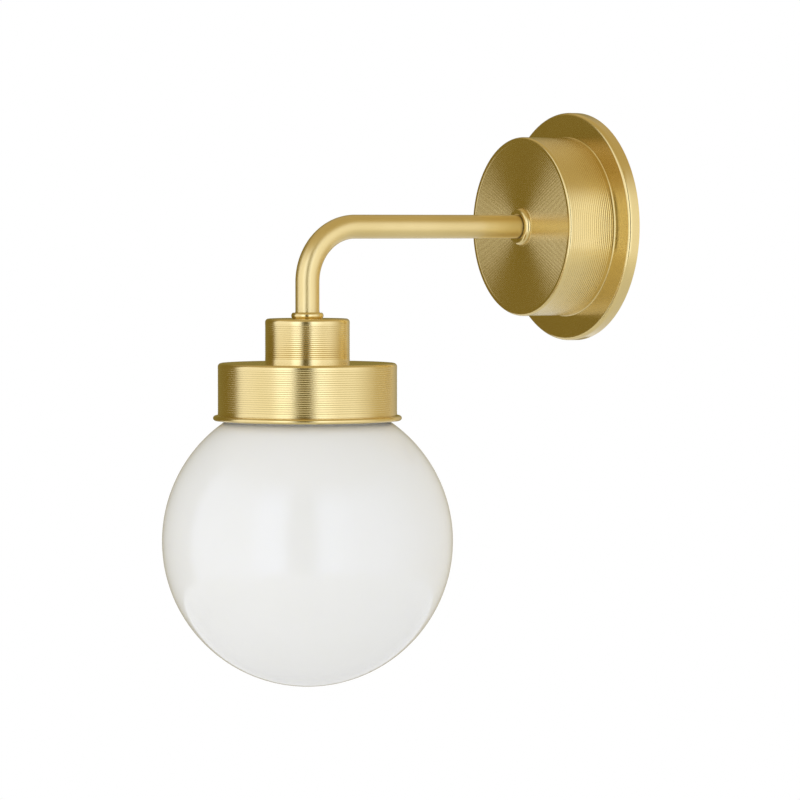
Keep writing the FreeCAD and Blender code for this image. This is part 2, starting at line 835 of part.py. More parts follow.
def holder_skirt():
    """The lower half of the lampholder, with the shoulder that stands on the large cap."""
    sleeve_radius = dome_radius - dome_wall - slip_gap
    sleeve_top = dome_bottom + skirt_sleeve_height
    seat = insert_radius + slip_gap
    bottom = small_cap_bottom - skirt_length + dome_seam
    outline = Outline(skirt_bore_radius, bottom)
    outline.line(skirt_radius, bottom)
    outline.line(skirt_radius, small_cap_bottom)
    outline.line(dome_radius, small_cap_bottom)
    outline.line(dome_radius, dome_bottom)
    outline.line(sleeve_radius, dome_bottom)
    outline.line(sleeve_radius, sleeve_top)
    outline.line(seat, sleeve_top)
    outline.line(seat, insert_bottom)
    outline.line(skirt_bore_radius, insert_bottom)
    return on_leg(outline.turned())


def holder_insert():
    """The porcelain disc that carries the posts and the contacts, with a hole for the rivet of the leaf."""
    return on_leg(rod(insert_radius, Z * insert_bottom, insert_height, Z))


def terminal_posts():
    """Two brass posts on the porcelain, each with a wire hole from the middle and a screw hole from above."""
    posts = []
    for side in (-1, 1):
        inner = side * post_start
        outer = side * (post_start + post_length)
        half = 0.5 * post_width
        low = min(inner, outer)
        high = max(inner, outer)
        post = block(low, high, -half, half, insert_top, insert_top + post_height)
        start = FreeCAD.Vector(inner, 0, post_wire_level)
        post = post.cut(rod(wire_core_radius + screw_clearance, start, post_length, X * side))
        hole = FreeCAD.Vector(0.5 * (inner + outer), 0, post_wire_level)
        post = post.cut(rod(post_screw_radius + thread_gap, hole, post_height, Z))
        posts.append(on_leg(post))
    return posts


def post_screws():
    screws = []
    for side in (-1, 1):
        x = side * (post_start + 0.5 * post_length)
        tip = post_wire_level + wire_core_radius
        seat = insert_top + post_height
        shank = rod(post_screw_radius, FreeCAD.Vector(x, 0, tip), seat - tip, Z)
        head = rod(post_screw_head_radius, FreeCAD.Vector(x, 0, seat), post_screw_head_height, Z)
        screws.append(on_leg(shank.fuse(head).removeSplitter()))
    return screws


def screw_shell():
    """The metal shell that takes the bulb, with its rim fixed under the porcelain."""
    inner = shell_radius - shell_wall
    rim = insert_bottom - shell_wall
    outline = Outline(inner, shell_bottom)
    outline.line(shell_radius, shell_bottom)
    outline.line(shell_radius, insert_bottom)
    outline.line(shell_radius - shell_rim, insert_bottom)
    outline.line(shell_radius - shell_rim, rim)
    outline.line(inner, rim)
    return on_leg(outline.turned())


def contact_leaf():
    """The spring leaf of the centre contact: flat under the porcelain, then bowed to the bulb's button."""
    half = 0.5 * leaf_thickness
    flat_level = insert_bottom - half
    low_level = bulb_top + leaf_gap + half
    drop = flat_level - low_level
    turn = 2 * math.atan2(drop, leaf_knee)
    radius = leaf_knee / (2 * math.sin(turn))
    sweep = math.degrees(turn)
    knee = (leaf_knee, flat_level - radius)
    bow = (0, low_level + radius)
    tail = (0, low_level + leaf_tail_radius)
    side = Outline(leaf_root, insert_bottom)
    side.bend(knee, radius + half, 90, 90 + sweep)
    side.bend(bow, radius - half, 270 + sweep, 270)
    side.bend(tail, leaf_tail_radius - half, 270, 270 - leaf_tail_turn)
    side.bend(tail, leaf_tail_radius + half, 270 - leaf_tail_turn, 270)
    side.bend(bow, radius + half, 270, 270 + sweep)
    side.bend(knee, radius - half, 90 + sweep, 90)
    side.line(leaf_root, insert_bottom - leaf_thickness)
    side.line(*side.start)
    face = Part.Face(Part.Wire(side.edges)).translated(Y * (-0.5 * leaf_width))
    return on_leg(face.extrude(Y * leaf_width))


# ---------------------------------------------------------------- globe holder

def shade_ring():
    """The ring that clamps the large cap against the lampholder's shoulder, with finger notches."""
    flange_bottom = large_cap_plate - shade_ring_flange
    bottom = large_cap_plate - shade_ring_height
    outline = Outline(skirt_radius + thread_gap, bottom)
    outline.line(shade_ring_hub_radius, bottom)
    outline.line(shade_ring_hub_radius, flange_bottom)
    outline.line(shade_ring_radius, flange_bottom)
    outline.line(shade_ring_radius, large_cap_plate)
    outline.line(skirt_radius + thread_gap, large_cap_plate)
    body = outline.turned()
    for i in range(shade_ring_notch_count):
        x, y = on_circle((0, 0), shade_ring_hub_radius, 360 * i / shade_ring_notch_count)
        place = FreeCAD.Vector(x, y, bottom)
        body = body.cut(rod(shade_ring_notch_radius, place, flange_bottom - bottom, Z))
    return on_leg(body)


def thread_ring():
    """The ring inside the large cap: its bore takes the neck and its lip is the seat of the seal."""
    outline = Outline(thread_ring_bore, thread_ring_bottom)
    outline.line(thread_ring_radius, thread_ring_bottom)
    outline.line(thread_ring_radius, thread_ring_top)
    outline.line(thread_ring_bore - thread_ring_lip_reach, thread_ring_top)
    outline.line(thread_ring_bore - thread_ring_lip_reach, thread_ring_shelf)
    outline.line(thread_ring_bore, thread_ring_shelf)
    return on_leg(outline.turned())


def globe_seal():
    outer = neck_radius
    return on_leg(ring(outer, outer - seal_width, neck_top, thread_ring_shelf))


def globe():
    """The blown globe: an opal wall of even thickness, drawn up into a neck with a rounded lip."""
    centre = (0, globe_centre_height)
    inner_radius = globe_radius - globe_wall
    neck_bore = neck_radius - globe_wall
    fillet_r = neck_radius + neck_fillet
    fillet_z = globe_centre_height + math.sqrt((globe_radius + neck_fillet) ** 2 - fillet_r ** 2)
    turn = math.degrees(math.atan2(fillet_z - globe_centre_height, fillet_r))
    inner_turn = math.degrees(math.acos(neck_bore / inner_radius))
    lip = neck_lip_rounding
    outline = Outline(0, globe_centre_height - globe_radius)
    outline.bend(centre, globe_radius, -90, turn)
    outline.bend((fillet_r, fillet_z), neck_fillet, 180 + turn, 180)
    outline.bend((neck_radius - lip, neck_top - lip), lip, 0, 90)
    outline.bend((neck_bore + lip, neck_top - lip), lip, 90, 180)
    outline.bend(centre, inner_radius, inner_turn, -90)
    return on_leg(outline.turned())


# ---------------------------------------------------------------- bulb

bulb_insulator_top = bulb_top - bulb_button_height
bulb_cap_top = bulb_insulator_top - bulb_insulator_height
bulb_cap_bottom = bulb_cap_top - bulb_cap_length
bulb_collar_bottom = bulb_cap_bottom - bulb_collar_height
bulb_centre_height = bulb_top - bulb_length + bulb_radius


def bulb_contact():
    """The solder button that meets the leaf."""
    outline = Outline(0, bulb_insulator_top)
    outline.line(bulb_button_radius, bulb_insulator_top)
    outline.arc((button_edge_radius, bulb_top - button_edge_drop), (button_flat_radius, bulb_top))
    outline.line(0, bulb_top)
    return on_leg(outline.turned())


def bulb_insulator():
    outline = Outline(0, bulb_cap_top)
    outline.line(bulb_cap_radius - insulator_edge_inset, bulb_cap_top)
    outline.line(bulb_button_radius + insulator_button_gap, bulb_insulator_top)
    outline.line(0, bulb_insulator_top)
    return on_leg(outline.turned())


def bulb_cap():
    """The screw cap, drawn at the size of its thread, with the collar that holds the glass."""
    bore = bulb_cap_radius - bulb_cap_wall
    outline = Outline(0, bulb_cap_top)
    outline.line(bulb_cap_radius - bulb_cap_chamfer, bulb_cap_top)
    outline.line(bulb_cap_radius, bulb_cap_top - bulb_cap_chamfer)
    outline.line(bulb_cap_radius, bulb_cap_bottom)
    outline.line(bulb_collar_radius, bulb_collar_bottom)
    outline.line(bulb_collar_radius - bulb_cap_wall, bulb_collar_bottom)
    outline.line(bore, bulb_cap_bottom)
    outline.line(bore, bulb_cap_top - bulb_cap_top_wall)
    outline.line(0, bulb_cap_top - bulb_cap_top_wall)
    return on_leg(outline.turned())


def bulb_envelope():
    """The pear shaped glass, whose neck stands in the collar of the cap."""
    centre = (0, bulb_centre_height)
    neck = bulb_collar_radius - bulb_cap_wall - slip_gap
    tangent = on_circle(centre, bulb_radius, bulb_shoulder)
    waist = (neck, bulb_collar_bottom - bulb_waist_length)
    flank_radius = 0.5 * (tangent[0] + waist[0]) - bulb_flank_in
    flank = (flank_radius, 0.5 * (tangent[1] + waist[1]) + bulb_flank_up)
    seat = neck - bulb_seat_step
    seat_top = bulb_collar_bottom + bulb_seat_height
    inner = bulb_radius - bulb_wall
    inner_tangent = on_circle(centre, inner, bulb_shoulder)
    inner_flank = on_circle(flank, bulb_wall, 180 + bulb_shoulder)
    outline = Outline(0, bulb_centre_height - bulb_radius)
    outline.bend(centre, bulb_radius, -90, bulb_shoulder)
    outline.arc(flank, waist)
    outline.line(neck, bulb_collar_bottom)
    outline.line(seat, seat_top)
    outline.line(seat - bulb_wall, seat_top)
    outline.line(neck - bulb_wall, waist[1])
    outline.arc(inner_flank, inner_tangent)
    outline.bend(centre, inner, bulb_shoulder, -90)
    return on_leg(outline.turned())


# ---------------------------------------------------------------- the lamp

def build():
    os.makedirs("parts", exist_ok=True)
    save("wall_flange", [wall_flange()])
    save("mounting_bracket", [mounting_bracket()])
    save("flange_lock_screws", lock_screws())
    save("canopy_cup", [canopy_cup()])
    save("canopy_screws", canopy_screws())
    save("canopy_cover_ring", [canopy_cover()])
    save("arm_tube", [arm_tube()])
    save("canopy_nipple", [canopy_nipple()])
    save("canopy_nut", [canopy_nut()])
    save("earth_tag", [earth_tag()])
    save("wire_bush", [wire_bush()])
    save("terminal_block", [terminal_block()])
    save("terminal_barrels", terminal_barrels())
    save("terminal_clamp_screws", clamp_screws())
    save("terminal_fixing_screw", [fixing_screw()])
    save("bracket_earth_screw", [earth_screw()])
    save("live_wire", [lamp_wire("live_wire", 1, pole_places[2])])
    save("neutral_wire", [lamp_wire("neutral_wire", -1, pole_places[1])])
    save("earth_wire", [earth_wire()])
    save("socket_collar", [socket_collar()])
    save("holder_nipple", [holder_nipple()])
    save("small_cap", [small_cap()])
    save("large_cap", [large_cap()])
    save("holder_dome", [holder_dome()])
    save("holder_skirt", [holder_skirt()])
    save("holder_insert", [holder_insert()])
    save("holder_terminal_posts", terminal_posts())
    save("holder_terminal_screws", post_screws())
    save("screw_shell", [screw_shell()])
    save("contact_leaf", [contact_leaf()])
    save("shade_ring", [shade_ring()])
    save("thread_ring", [thread_ring()])
    save("globe_seal", [globe_seal()])
    save("globe", [globe()])
    save("bulb_contact", [bulb_contact()])
    save("bulb_insulator", [bulb_insulator()])
    save("bulb_cap", [bulb_cap()])
    save("bulb_envelope", [bulb_envelope()])


build()
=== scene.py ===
"""Globe wall sconce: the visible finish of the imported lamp, in metres, in the frame of its CAD nodes."""

import logging
import math
from contextlib import contextmanager
from dataclasses import dataclass
from enum import Enum
from typing import Callable, Iterable, Iterator, Optional, Sequence

import bmesh
import bpy
from mathutils import Matrix, Vector


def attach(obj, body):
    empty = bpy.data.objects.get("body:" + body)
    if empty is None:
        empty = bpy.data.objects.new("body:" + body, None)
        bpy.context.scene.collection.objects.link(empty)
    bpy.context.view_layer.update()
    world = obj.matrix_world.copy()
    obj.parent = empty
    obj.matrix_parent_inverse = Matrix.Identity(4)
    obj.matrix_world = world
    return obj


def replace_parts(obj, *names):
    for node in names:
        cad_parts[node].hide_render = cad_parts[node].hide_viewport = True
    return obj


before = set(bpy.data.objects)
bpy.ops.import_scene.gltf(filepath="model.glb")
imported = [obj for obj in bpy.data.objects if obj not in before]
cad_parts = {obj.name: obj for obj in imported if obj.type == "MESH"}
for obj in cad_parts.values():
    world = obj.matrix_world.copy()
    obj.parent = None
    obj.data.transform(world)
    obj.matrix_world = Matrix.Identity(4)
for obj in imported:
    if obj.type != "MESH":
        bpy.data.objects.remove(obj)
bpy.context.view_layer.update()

Pair = tuple[float, float]
Point = tuple[float, float, float]
Mesh = bpy.types.Mesh
Piece = bpy.types.Object
Socket = bpy.types.NodeSocket
Tree = bpy.types.NodeTree

LOG = logging.getLogger("wall_sconce")
MM = 0.001
REACH = 166.0
LEG_FOOT = Vector((0.0, -REACH * MM, 0.0))
CREASE = math.radians(32)
RIB_STEPS = 8
RING_STEPS = 6
THREAD_STEPS = 12
UP: Point = (0.0, 0.0, 1.0)
DOWN: Point = (0.0, 0.0, -1.0)
TO_ROOM: Point = (0.0, -1.0, 0.0)
TO_WALL: Point = (0.0, 1.0, 0.0)
WHITE = (1, 1, 1, 1)


class Stand(Enum):
    """Where a piece that is made about the Z axis goes: the matrix that sets its mesh in place."""

    WALL = Matrix.Rotation(math.radians(90), 4, "X")
    LEG = Matrix.Translation(LEG_FOOT)
    BENCH = Matrix.Identity(4)


# ---------------------------------------------------------------- node trees


def linear(hex_colour: str) -> tuple[float, ...]:
    """Turn an sRGB hex colour into linear light.

    Args:
        hex_colour: six hex digits after a hash sign.

    Returns:
        Red, green, blue and alpha for a colour socket.
    """
    shares = [int(hex_colour[i : i + 2], 16) / 255 for i in (1, 3, 5)]
    return (*(s / 12.92 if s <= 0.04045 else ((s + 0.055) / 1.055) ** 2.4 for s in shares), 1.0)


class Graph:
    """A node tree that is filled in node by node, and the steps that several trees share."""

    def __init__(self, tree: Tree) -> None:
        """Start with an empty tree."""
        self.tree = tree
        tree.nodes.clear()

    def add(self, kind: str, inputs: Optional[dict] = None, **settings: object) -> bpy.types.NodeOutputs:
        """Add a node with its settings and its links.

        Args:
            kind: the node's type; one without the word Node in it is a shader node.
            inputs: a value or a linked socket for each input, by its name or its number.
            settings: the node's own properties.

        Returns:
            The node's outputs.
        """
        node = self.tree.nodes.new(kind if "Node" in kind else "ShaderNode" + kind)
        for name, value in settings.items():
            setattr(node, name, value)
        for key, value in (inputs or {}).items():
            if isinstance(value, Socket):
                self.tree.links.new(value, node.inputs[key])
            else:
                node.inputs[key].default_value = value
        return node.outputs

    def calc(self, operation: str, *values: object) -> Socket:
        """Join values or sockets by one Math node."""
        return self.add("Math", dict(enumerate(values)), operation=operation)[0]

    def product(self, *values: object) -> Socket:
        """Multiply two values or sockets."""
        return self.calc("MULTIPLY", *values)

    def vector(self, operation: str, *values: object) -> Socket:
        """Join two vectors, or scale one, by one Vector Math node."""
        keys = (0, "Scale") if operation == "SCALE" else (0, 1)
        return self.add("VectorMath", dict(zip(keys, values)), operation=operation)[0]

    def attribute(self, name: str, kind: str = "FLOAT_VECTOR") -> Socket:
        """Read a named attribute in a geometry tree."""
        return self.add("GeometryNodeInputNamedAttribute", {"Name": name}, data_type=kind)["Attribute"]

    def place(self) -> Socket:
        """Give the place on the piece in metres."""
        return self.add("TexCoord")["Object"]

    def noise(self, place: Socket, size_mm: float, detail: float) -> Socket:
        """Give a cloudy pattern with patches of this size."""
        return self.add("TexNoise", {"Vector": place, "Scale": 1 / (size_mm * MM), "Detail": detail})["Fac"]

    def about(self, value: Socket, middle: float, swing: float) -> Socket:
        """Let a pattern swing a number to both sides of its middle."""
        return self.add("MapRange", {"Value": value, "To Min": middle - swing, "To Max": middle + swing})[0]

    def blend(self, share: Socket, first: str, second: str) -> Socket:
        """Mix two hex colours."""
        return self.add("Mix", {"Factor": share, "A": linear(first), "B": linear(second)}, data_type="RGBA")[2]

    def bump(self, height: Socket, depth_mm: float) -> Socket:
        """Turn a pattern into a relief of this depth."""
        return self.add("Bump", {"Height": height, "Strength": 1.0, "Distance": depth_mm * MM})[0]

    def from_axis(self, stand: Stand) -> tuple[Socket, Socket]:
        """Measure how far the place on a turned piece is out from the axis and along it, in metres."""
        place = self.place()
        across, along = "Z", "Y"
        if stand is Stand.LEG:
            place = self.add("Mapping", {"Vector": place, "Location": -LEG_FOOT})[0]
            across, along = "Y", "Z"
        parts = self.add("SeparateXYZ", {0: place})
        squares = [self.product(parts[key], parts[key]) for key in ("X", across)]
        return self.calc("SQRT", self.calc("ADD", *squares)), parts[along]


# ---------------------------------------------------------------- finishes


def new_material(name: str, surface: Callable[[Graph], Socket]) -> bpy.types.Material:
    """Make a material whose tree is filled in by a function that returns its surface."""
    made = bpy.data.materials.new(name)
    made.use_nodes = True
    graph = Graph(made.node_tree)
    graph.add("OutputMaterial", {"Surface": surface(graph)})
    return made


class Finish:
    """A material made of nodes; each kind of finish fills in its own tree."""

    name: str

    def build(self) -> bpy.types.Material:
        """Make the material once, and give the same one to each piece that asks for it."""
        return bpy.data.materials.get(self.name) or new_material(self.name, self.surface)

    def surface(self, graph: Graph) -> Socket:
        """Fill in the tree and return its surface socket."""
        raise NotImplementedError


@dataclass(frozen=True)
class TurnedBrass(Finish):
    """Satin brass, turned and lacquered: soft warm reflections, drawn out across the tool's fine rings."""

    name: str
    stand: Stand
    colour: str = "#E1CA87"
    worn_colour: str = "#DBC37D"
    roughness: float = 0.2
    lacquer: float = 0.9
    lacquer_roughness: float = 0.15
    patch_mm: float = 40.0
    tool_pitch_mm: float = 0.5
    tool_depth_mm: float = 0.004

    def surface(self, graph: Graph) -> Socket:
        """Fill in the tree: patches of tone, tool rings as a bump, and a clear lacquer."""
        patches = graph.noise(graph.place(), self.patch_mm, 3.0)
        tone = graph.add("MapRange", {"Value": patches, "From Min": 0.35, "From Max": 0.65})[0]
        radius, station = graph.from_axis(self.stand)
        rings = graph.add("CombineXYZ", {"X": radius, "Y": station})[0]
        inputs = {
            "Base Color": graph.blend(tone, self.colour, self.worn_colour),
            "Metallic": 1.0,
            "Roughness": graph.about(patches, self.roughness, 0.03),
            "Normal": graph.bump(graph.noise(rings, self.tool_pitch_mm, 2.0), self.tool_depth_mm),
            "Coat Weight": self.lacquer,
            "Coat Roughness": self.lacquer_roughness,
        }
        return graph.add("BsdfPrincipled", inputs)[0]


@dataclass(frozen=True)
class Plain(Finish):
    """One real material with a fine grain in its colour, its roughness and its surface."""

    name: str
    colour: str
    second_colour: str
    roughness: float
    grain_mm: float
    grain_depth_mm: float
    metallic: float = 0.0
    coat: float = 0.0
    subsurface: float = 0.0
    subsurface_mm: float = 1.0

    def surface(self, graph: Graph) -> Socket:
        """Fill in the tree: grain that shifts the colour and roughness a little, and a bump of the same grain."""
        grain = graph.noise(graph.place(), self.grain_mm, 4.0)
        inputs = {
            "Base Color": graph.blend(grain, self.colour, self.second_colour),
            "Metallic": self.metallic,
            "Roughness": graph.about(grain, self.roughness, 0.04),
            "Normal": graph.bump(grain, self.grain_depth_mm),
            "Coat Weight": self.coat,
            "Coat Roughness": 0.1,
            "Subsurface Weight": self.subsurface,
            "Subsurface Radius": (1.0, 1.0, 0.9),
            "Subsurface Scale": self.subsurface_mm * MM,
        }
        return graph.add("BsdfPrincipled", inputs)[0]


@dataclass(frozen=True)
class StripedVinyl(Finish):
    """Extruded insulation of two colours that run along the wire, with a low sheen."""

    name: str
    colour: str
    stripe: str
    stripe_share: float = 0.35
    roughness: float = 0.42
    grain_mm: float = 0.6

    def surface(self, graph: Graph) -> Socket:
        """Fill in the tree: the stripe takes its share of the way round, and a grain blurs the gloss."""
        round_wire = graph.add("Attribute", attribute_name="round")["Fac"]
        striped = graph.calc("LESS_THAN", graph.calc("PINGPONG", round_wire, 0.5), 0.5 * self.stripe_share)
        rough = graph.about(graph.noise(graph.place(), self.grain_mm, 3.0), self.roughness, 0.05)
        inputs = {"Base Color": graph.blend(striped, self.colour, self.stripe), "Roughness": rough}
        return graph.add("BsdfPrincipled", inputs)[0]


WALL_BRASS = TurnedBrass("satin_brass_turned_wall", Stand.WALL)
LEG_BRASS = TurnedBrass("satin_brass_turned_leg", Stand.LEG)
# the same brass, drawn to a tube and brushed: the light spreads wider and no single edge shows in it
TUBE_BRASS = TurnedBrass("satin_brass_drawn_tube", Stand.LEG, roughness=0.38, tool_depth_mm=0.002)
# screws, barrels and nipples: yellower than the lacquered brass, with a duller skin
PLAIN_BRASS = Plain("brass_plain_machined", "#D8B45C", "#C39C48", 0.32, 0.6, 0.004, metallic=1.0)
# the strap: cool grey with a faint bright spangle, and its screws, brighter and smoother
ZINC_STEEL = Plain("steel_zinc_plated", "#C9CCCE", "#AEB2B5", 0.36, 2.5, 0.006, metallic=1.0)
SCREW_STEEL = Plain("steel_screw_bright", "#C4C6C8", "#A9ACAE", 0.27, 0.5, 0.003, metallic=1.0)
# the terminal strip and the bush: matt with a fine sparked mould skin
WHITE_PLASTIC = Plain("polyamide_white_moulded", "#EFEDE6", "#E4E1D8", 0.5, 0.25, 0.01)
# the lampholder: deep black with a low sheen, round glassy porcelain over a warm white body
HOLDER_PLASTIC = Plain("phenolic_black_moulded", "#1B1A19", "#242221", 0.38, 0.4, 0.006)
PORCELAIN = Plain("porcelain_glazed", "#F1EEE6", "#E7E3D8", 0.18, 3.0, 0.004, coat=0.6)
SHELL_METAL = Plain("brass_nickel_plated", "#CFC9BC", "#BDB6A6", 0.26, 0.8, 0.003, metallic=1.0)
SILICONE = Plain("silicone_moulded", "#D9D9D6", "#CFCFCB", 0.6, 0.5, 0.006)
# milk white through its whole wall under a bright, fire polished skin
OPAL_GLASS = Plain("glass_opal_blown", "#F8F8F5", "#F5F5F1", 0.12, 30.0, 0.02, subsurface=0.35, subsurface_mm=3.0)
# the bulb: white dust under smooth glass, a rolled cap, black glass and a drop of solder
BULB_GLASS = Plain("glass_bulb_coated", "#F7F6F1", "#F0EFEA", 0.2, 12.0, 0.004, coat=0.5)
BULB_CAP_METAL = Plain("aluminium_rolled", "#D4D5D6", "#BFC1C2", 0.3, 0.7, 0.004, metallic=1.0)
BULB_INSULATOR = Plain("glass_black_insulator", "#17151A", "#211E24", 0.12, 1.2, 0.01)
SOLDER = Plain("solder_tin", "#C6C7C6", "#A8AAA9", 0.34, 0.9, 0.03, metallic=1.0)
LIVE_VINYL = Plain("vinyl_brown_extruded", "#6A3A22", "#5F331D", 0.42, 0.6, 0.004)
NEUTRAL_VINYL = Plain("vinyl_blue_extruded", "#2C62A8", "#27589A", 0.42, 0.6, 0.004)
EARTH_VINYL = StripedVinyl("vinyl_green_yellow_extruded", "#3E8E3A", "#E0CB2E")
COPPER = Plain("copper_drawn", "#D98F63", "#C47A50", 0.3, 0.3, 0.003, metallic=1.0)


# ---------------------------------------------------------------- meshes and outlines


def new_piece(name: str, data: bpy.types.ID) -> Piece:
    """Link a new object with this mesh, curve, lamp or camera at the origin."""
    piece = bpy.data.objects.new(name, data)
    bpy.context.scene.collection.objects.link(piece)
    return piece


def mark(mesh: Mesh, title: str, values: Sequence) -> None:
    """Store a number or a vector for each vertex."""
    if isinstance(values[0], float):
        mesh.attributes.new(title, "FLOAT", "POINT").data.foreach_set("value", values)
    else:
        flat = [v for value in values for v in value]
        mesh.attributes.new(title, "FLOAT_VECTOR", "POINT").data.foreach_set("vector", flat)


def chain(name: str, points: Iterable[Point], linked: bool = True) -> Mesh:
    """Make points in millimetres vertices in metres, each linked to the next one or all loose."""
    corners = [tuple(v * MM for v in point) for point in points]
    mesh = bpy.data.meshes.new(name)
    mesh.from_pydata(corners, [(i, i + 1) for i in range(len(corners) - 1)] if linked else [], [])
    return mesh


@contextmanager
def editing(mesh: Mesh) -> Iterator[bmesh.types.BMesh]:
    """Open a mesh for changes and write them back."""
    work = bmesh.new()
    work.from_mesh(mesh)
    yield work
    work.to_mesh(mesh)
    work.free()


def face_out(work: bmesh.types.BMesh) -> None:
    """Turn the faces outwards, if the mesh came out inside out."""
    if work.calc_volume(signed=True) < 0:
        bmesh.ops.reverse_faces(work, faces=work.faces)


def shade(mesh: Mesh) -> None:
    """Smooth the sides and keep the edges sharp."""
    mesh.shade_smooth()
    mesh.set_sharp_from_angle(angle=CREASE)


def final_mesh(piece: Piece) -> Mesh:
    """Give the mesh that a piece has after its modifiers."""
    graph = bpy.context.evaluated_depsgraph_get()
    return bpy.data.meshes.new_from_object(piece.evaluated_get(graph), depsgraph=graph)


def settle(piece: Piece) -> Piece:
    """Turn a piece with its modifiers into a plain, closed mesh with smooth sides and sharp edges.

    Args:
        piece: the object whose modifiers are applied.

    Returns:
        The same object.
    """
    mesh = final_mesh(piece)
    piece.modifiers.clear()
    piece.data = mesh
    with editing(mesh) as work:
        bmesh.ops.remove_doubles(work, verts=work.verts, dist=1e-7)
        bmesh.ops.delete(work, geom=[e for e in work.edges if not e.link_faces], context="EDGES")
        face_out(work)
    shade(mesh)
    return piece


def join(piece: Piece, other: Piece) -> None:
    """Add another piece's mesh to a piece, each part keeping its own material."""
    slots, added = piece.data.materials, other.data
    for material in added.materials:
        if material.name not in slots:
            slots.append(material)
    with editing(piece.data) as work:
        before = len(work.faces)
        work.from_mesh(added)
        work.faces.ensure_lookup_table()
        for face in work.faces[before:]:
            face.material_index = slots.find(added.materials[face.material_index].name)
    bpy.data.objects.remove(other)


def between(start: Sequence[float], end: Sequence[float], share: float) -> tuple[float, ...]:
    """Give the point or the light at a share of the way between two others."""
    return tuple(a + (b - a) * share for a, b in zip(start, end))


def on_circle(centre: Pair, radius: float, angle: float) -> Pair:
    """Give the point of a circle at an angle in degrees."""
    turn = math.radians(angle)
    return (centre[0] + radius * math.cos(turn), centre[1] + radius * math.sin(turn))


def circle_through(a: Pair, b: Pair, c: Pair) -> tuple[Pair, float]:
    """Find the centre and the radius of the circle through three points."""
    d = 2 * (a[0] * (b[1] - c[1]) + b[0] * (c[1] - a[1]) + c[0] * (a[1] - b[1]))
    squares = [p[0] ** 2 + p[1] ** 2 for p in (a, b, c)]
    x = (squares[0] * (b[1] - c[1]) + squares[1] * (c[1] - a[1]) + squares[2] * (a[1] - b[1])) / d
    y = (squares[0] * (c[0] - b[0]) + squares[1] * (a[0] - c[0]) + squares[2] * (b[0] - a[0])) / d
    return (x, y), math.hypot(a[0] - x, a[1] - y)


class Outline:
    """A cross-section in millimetres of (radius, station), with points close enough to look smooth."""

    EDGE = 0.18

    def __init__(self, radius: float, station: float) -> None:
        """Start the outline at a point."""
        self.points: list[Pair] = [(radius, station)]
        # each point's way out of the metal, its share of a ribbed run or -1, and the shape of the rib
        self.marks: list[tuple[Pair, float, float]] = [((0.0, 0.0), -1.0, 1.0)]

    def put(self, point: Pair, out: Pair = (0.0, 0.0), run: float = -1.0, crest: float = 1.0) -> None:
        """Add one point, unless the outline is already there."""
        if math.dist(point, self.points[-1]) > 1e-5:
            self.points.append(point)
            self.marks.append((out, run, crest))

    def lines(self, *corners: Pair) -> "Outline":
        """Draw straight sides, with a point near both ends of each that keeps the shading flat between."""
        for corner in corners:
            start = self.points[-1]
            length = math.dist(corner, start)
            if length > 4 * self.EDGE:
                for share in (self.EDGE / length, 1 - self.EDGE / length):
                    self.put(between(start, corner, share))
            self.put(corner)
        return self

    def sweep(self, centre: Pair, radius: float, start: float, turn: float, steps: int) -> "Outline":
        """Add the points of a circular arc after its first; angles in degrees."""
        for i in range(1, steps + 1):
            self.put(on_circle(centre, radius, start + turn * i / steps))
        return self

    def bend(self, centre: Pair, radius: float, start: float, end: float, steps: int = 10) -> "Outline":
        """Draw a side to the start of a circular arc and then the arc; angles in degrees."""
        return self.lines(on_circle(centre, radius, start)).sweep(centre, radius, start, end - start, steps)

    def corner(self, radius: float, station: float, rounding: float, start: float, steps: int = 10) -> "Outline":
        """Draw the rounding of an outer corner, from its end (90) to its side or from its side (0) to its end."""
        return self.bend((radius - rounding, station - rounding), rounding, start, 90 - start, steps)

    def arc(self, via: Pair, end: Pair, steps: int = 12) -> "Outline":
        """Draw the circular arc from the last point through one point to another."""
        start = self.points[-1]
        centre, radius = circle_through(start, via, end)
        turns = [math.degrees(math.atan2(p[1] - centre[1], p[0] - centre[0])) for p in (start, via, end)]
        turn = (turns[2] - turns[0]) % 360
        if (turns[1] - turns[0]) % 360 > turn:
            turn -= 360
        return self.sweep(centre, radius, turns[0], turn, steps)

    def ribbed(
        self, end: Pair, steps: int, out: Pair = (1.0, 0.0), crest: float = 1.0, span: Pair = (0.0, 1.0)
    ) -> "Outline":
        """Draw a straight run that ribs are later cut into.

        Args:
            end: the run's last point.
            steps: the number of points along the run.
            out: the way out of the metal, its length being this run's share of the rib depth.
            crest: the shape of a rib, 1 for a sharp ridge and less for a flatter crest between finer grooves.
            span: where the run starts and ends, in the count of all ribs.

        Returns:
            The outline itself.
        """
        start = self.points[-1]
        for i in range(1, steps + 1):
            share = i / steps
            run = span[0] + (span[1] - span[0]) * share if i < steps else -1.0
            self.put(between(start, end, share), out, run, crest)
        return self

    def mesh(self, name: str) -> Mesh:
        """Make the outline a chain of vertices in metres, with its marks as attributes.

        An outline that starts on the axis also ends there; any other is closed.

        Args:
            name: the mesh's name.

        Returns:
            The mesh, its radius along X and its station along Z.
        """
        if self.points[0][0] > 0:
            self.lines(self.points[0])
        mesh = chain(name, [(radius, 0.0, station) for radius, station in self.points])
        outs, runs, crests = zip(*self.marks)
        mark(mesh, "out", [(radius, 0.0, station) for radius, station in outs])
        mark(mesh, "run", runs)
        mark(mesh, "crest", crests)
        return mesh


# ---------------------------------------------------------------- geometry trees


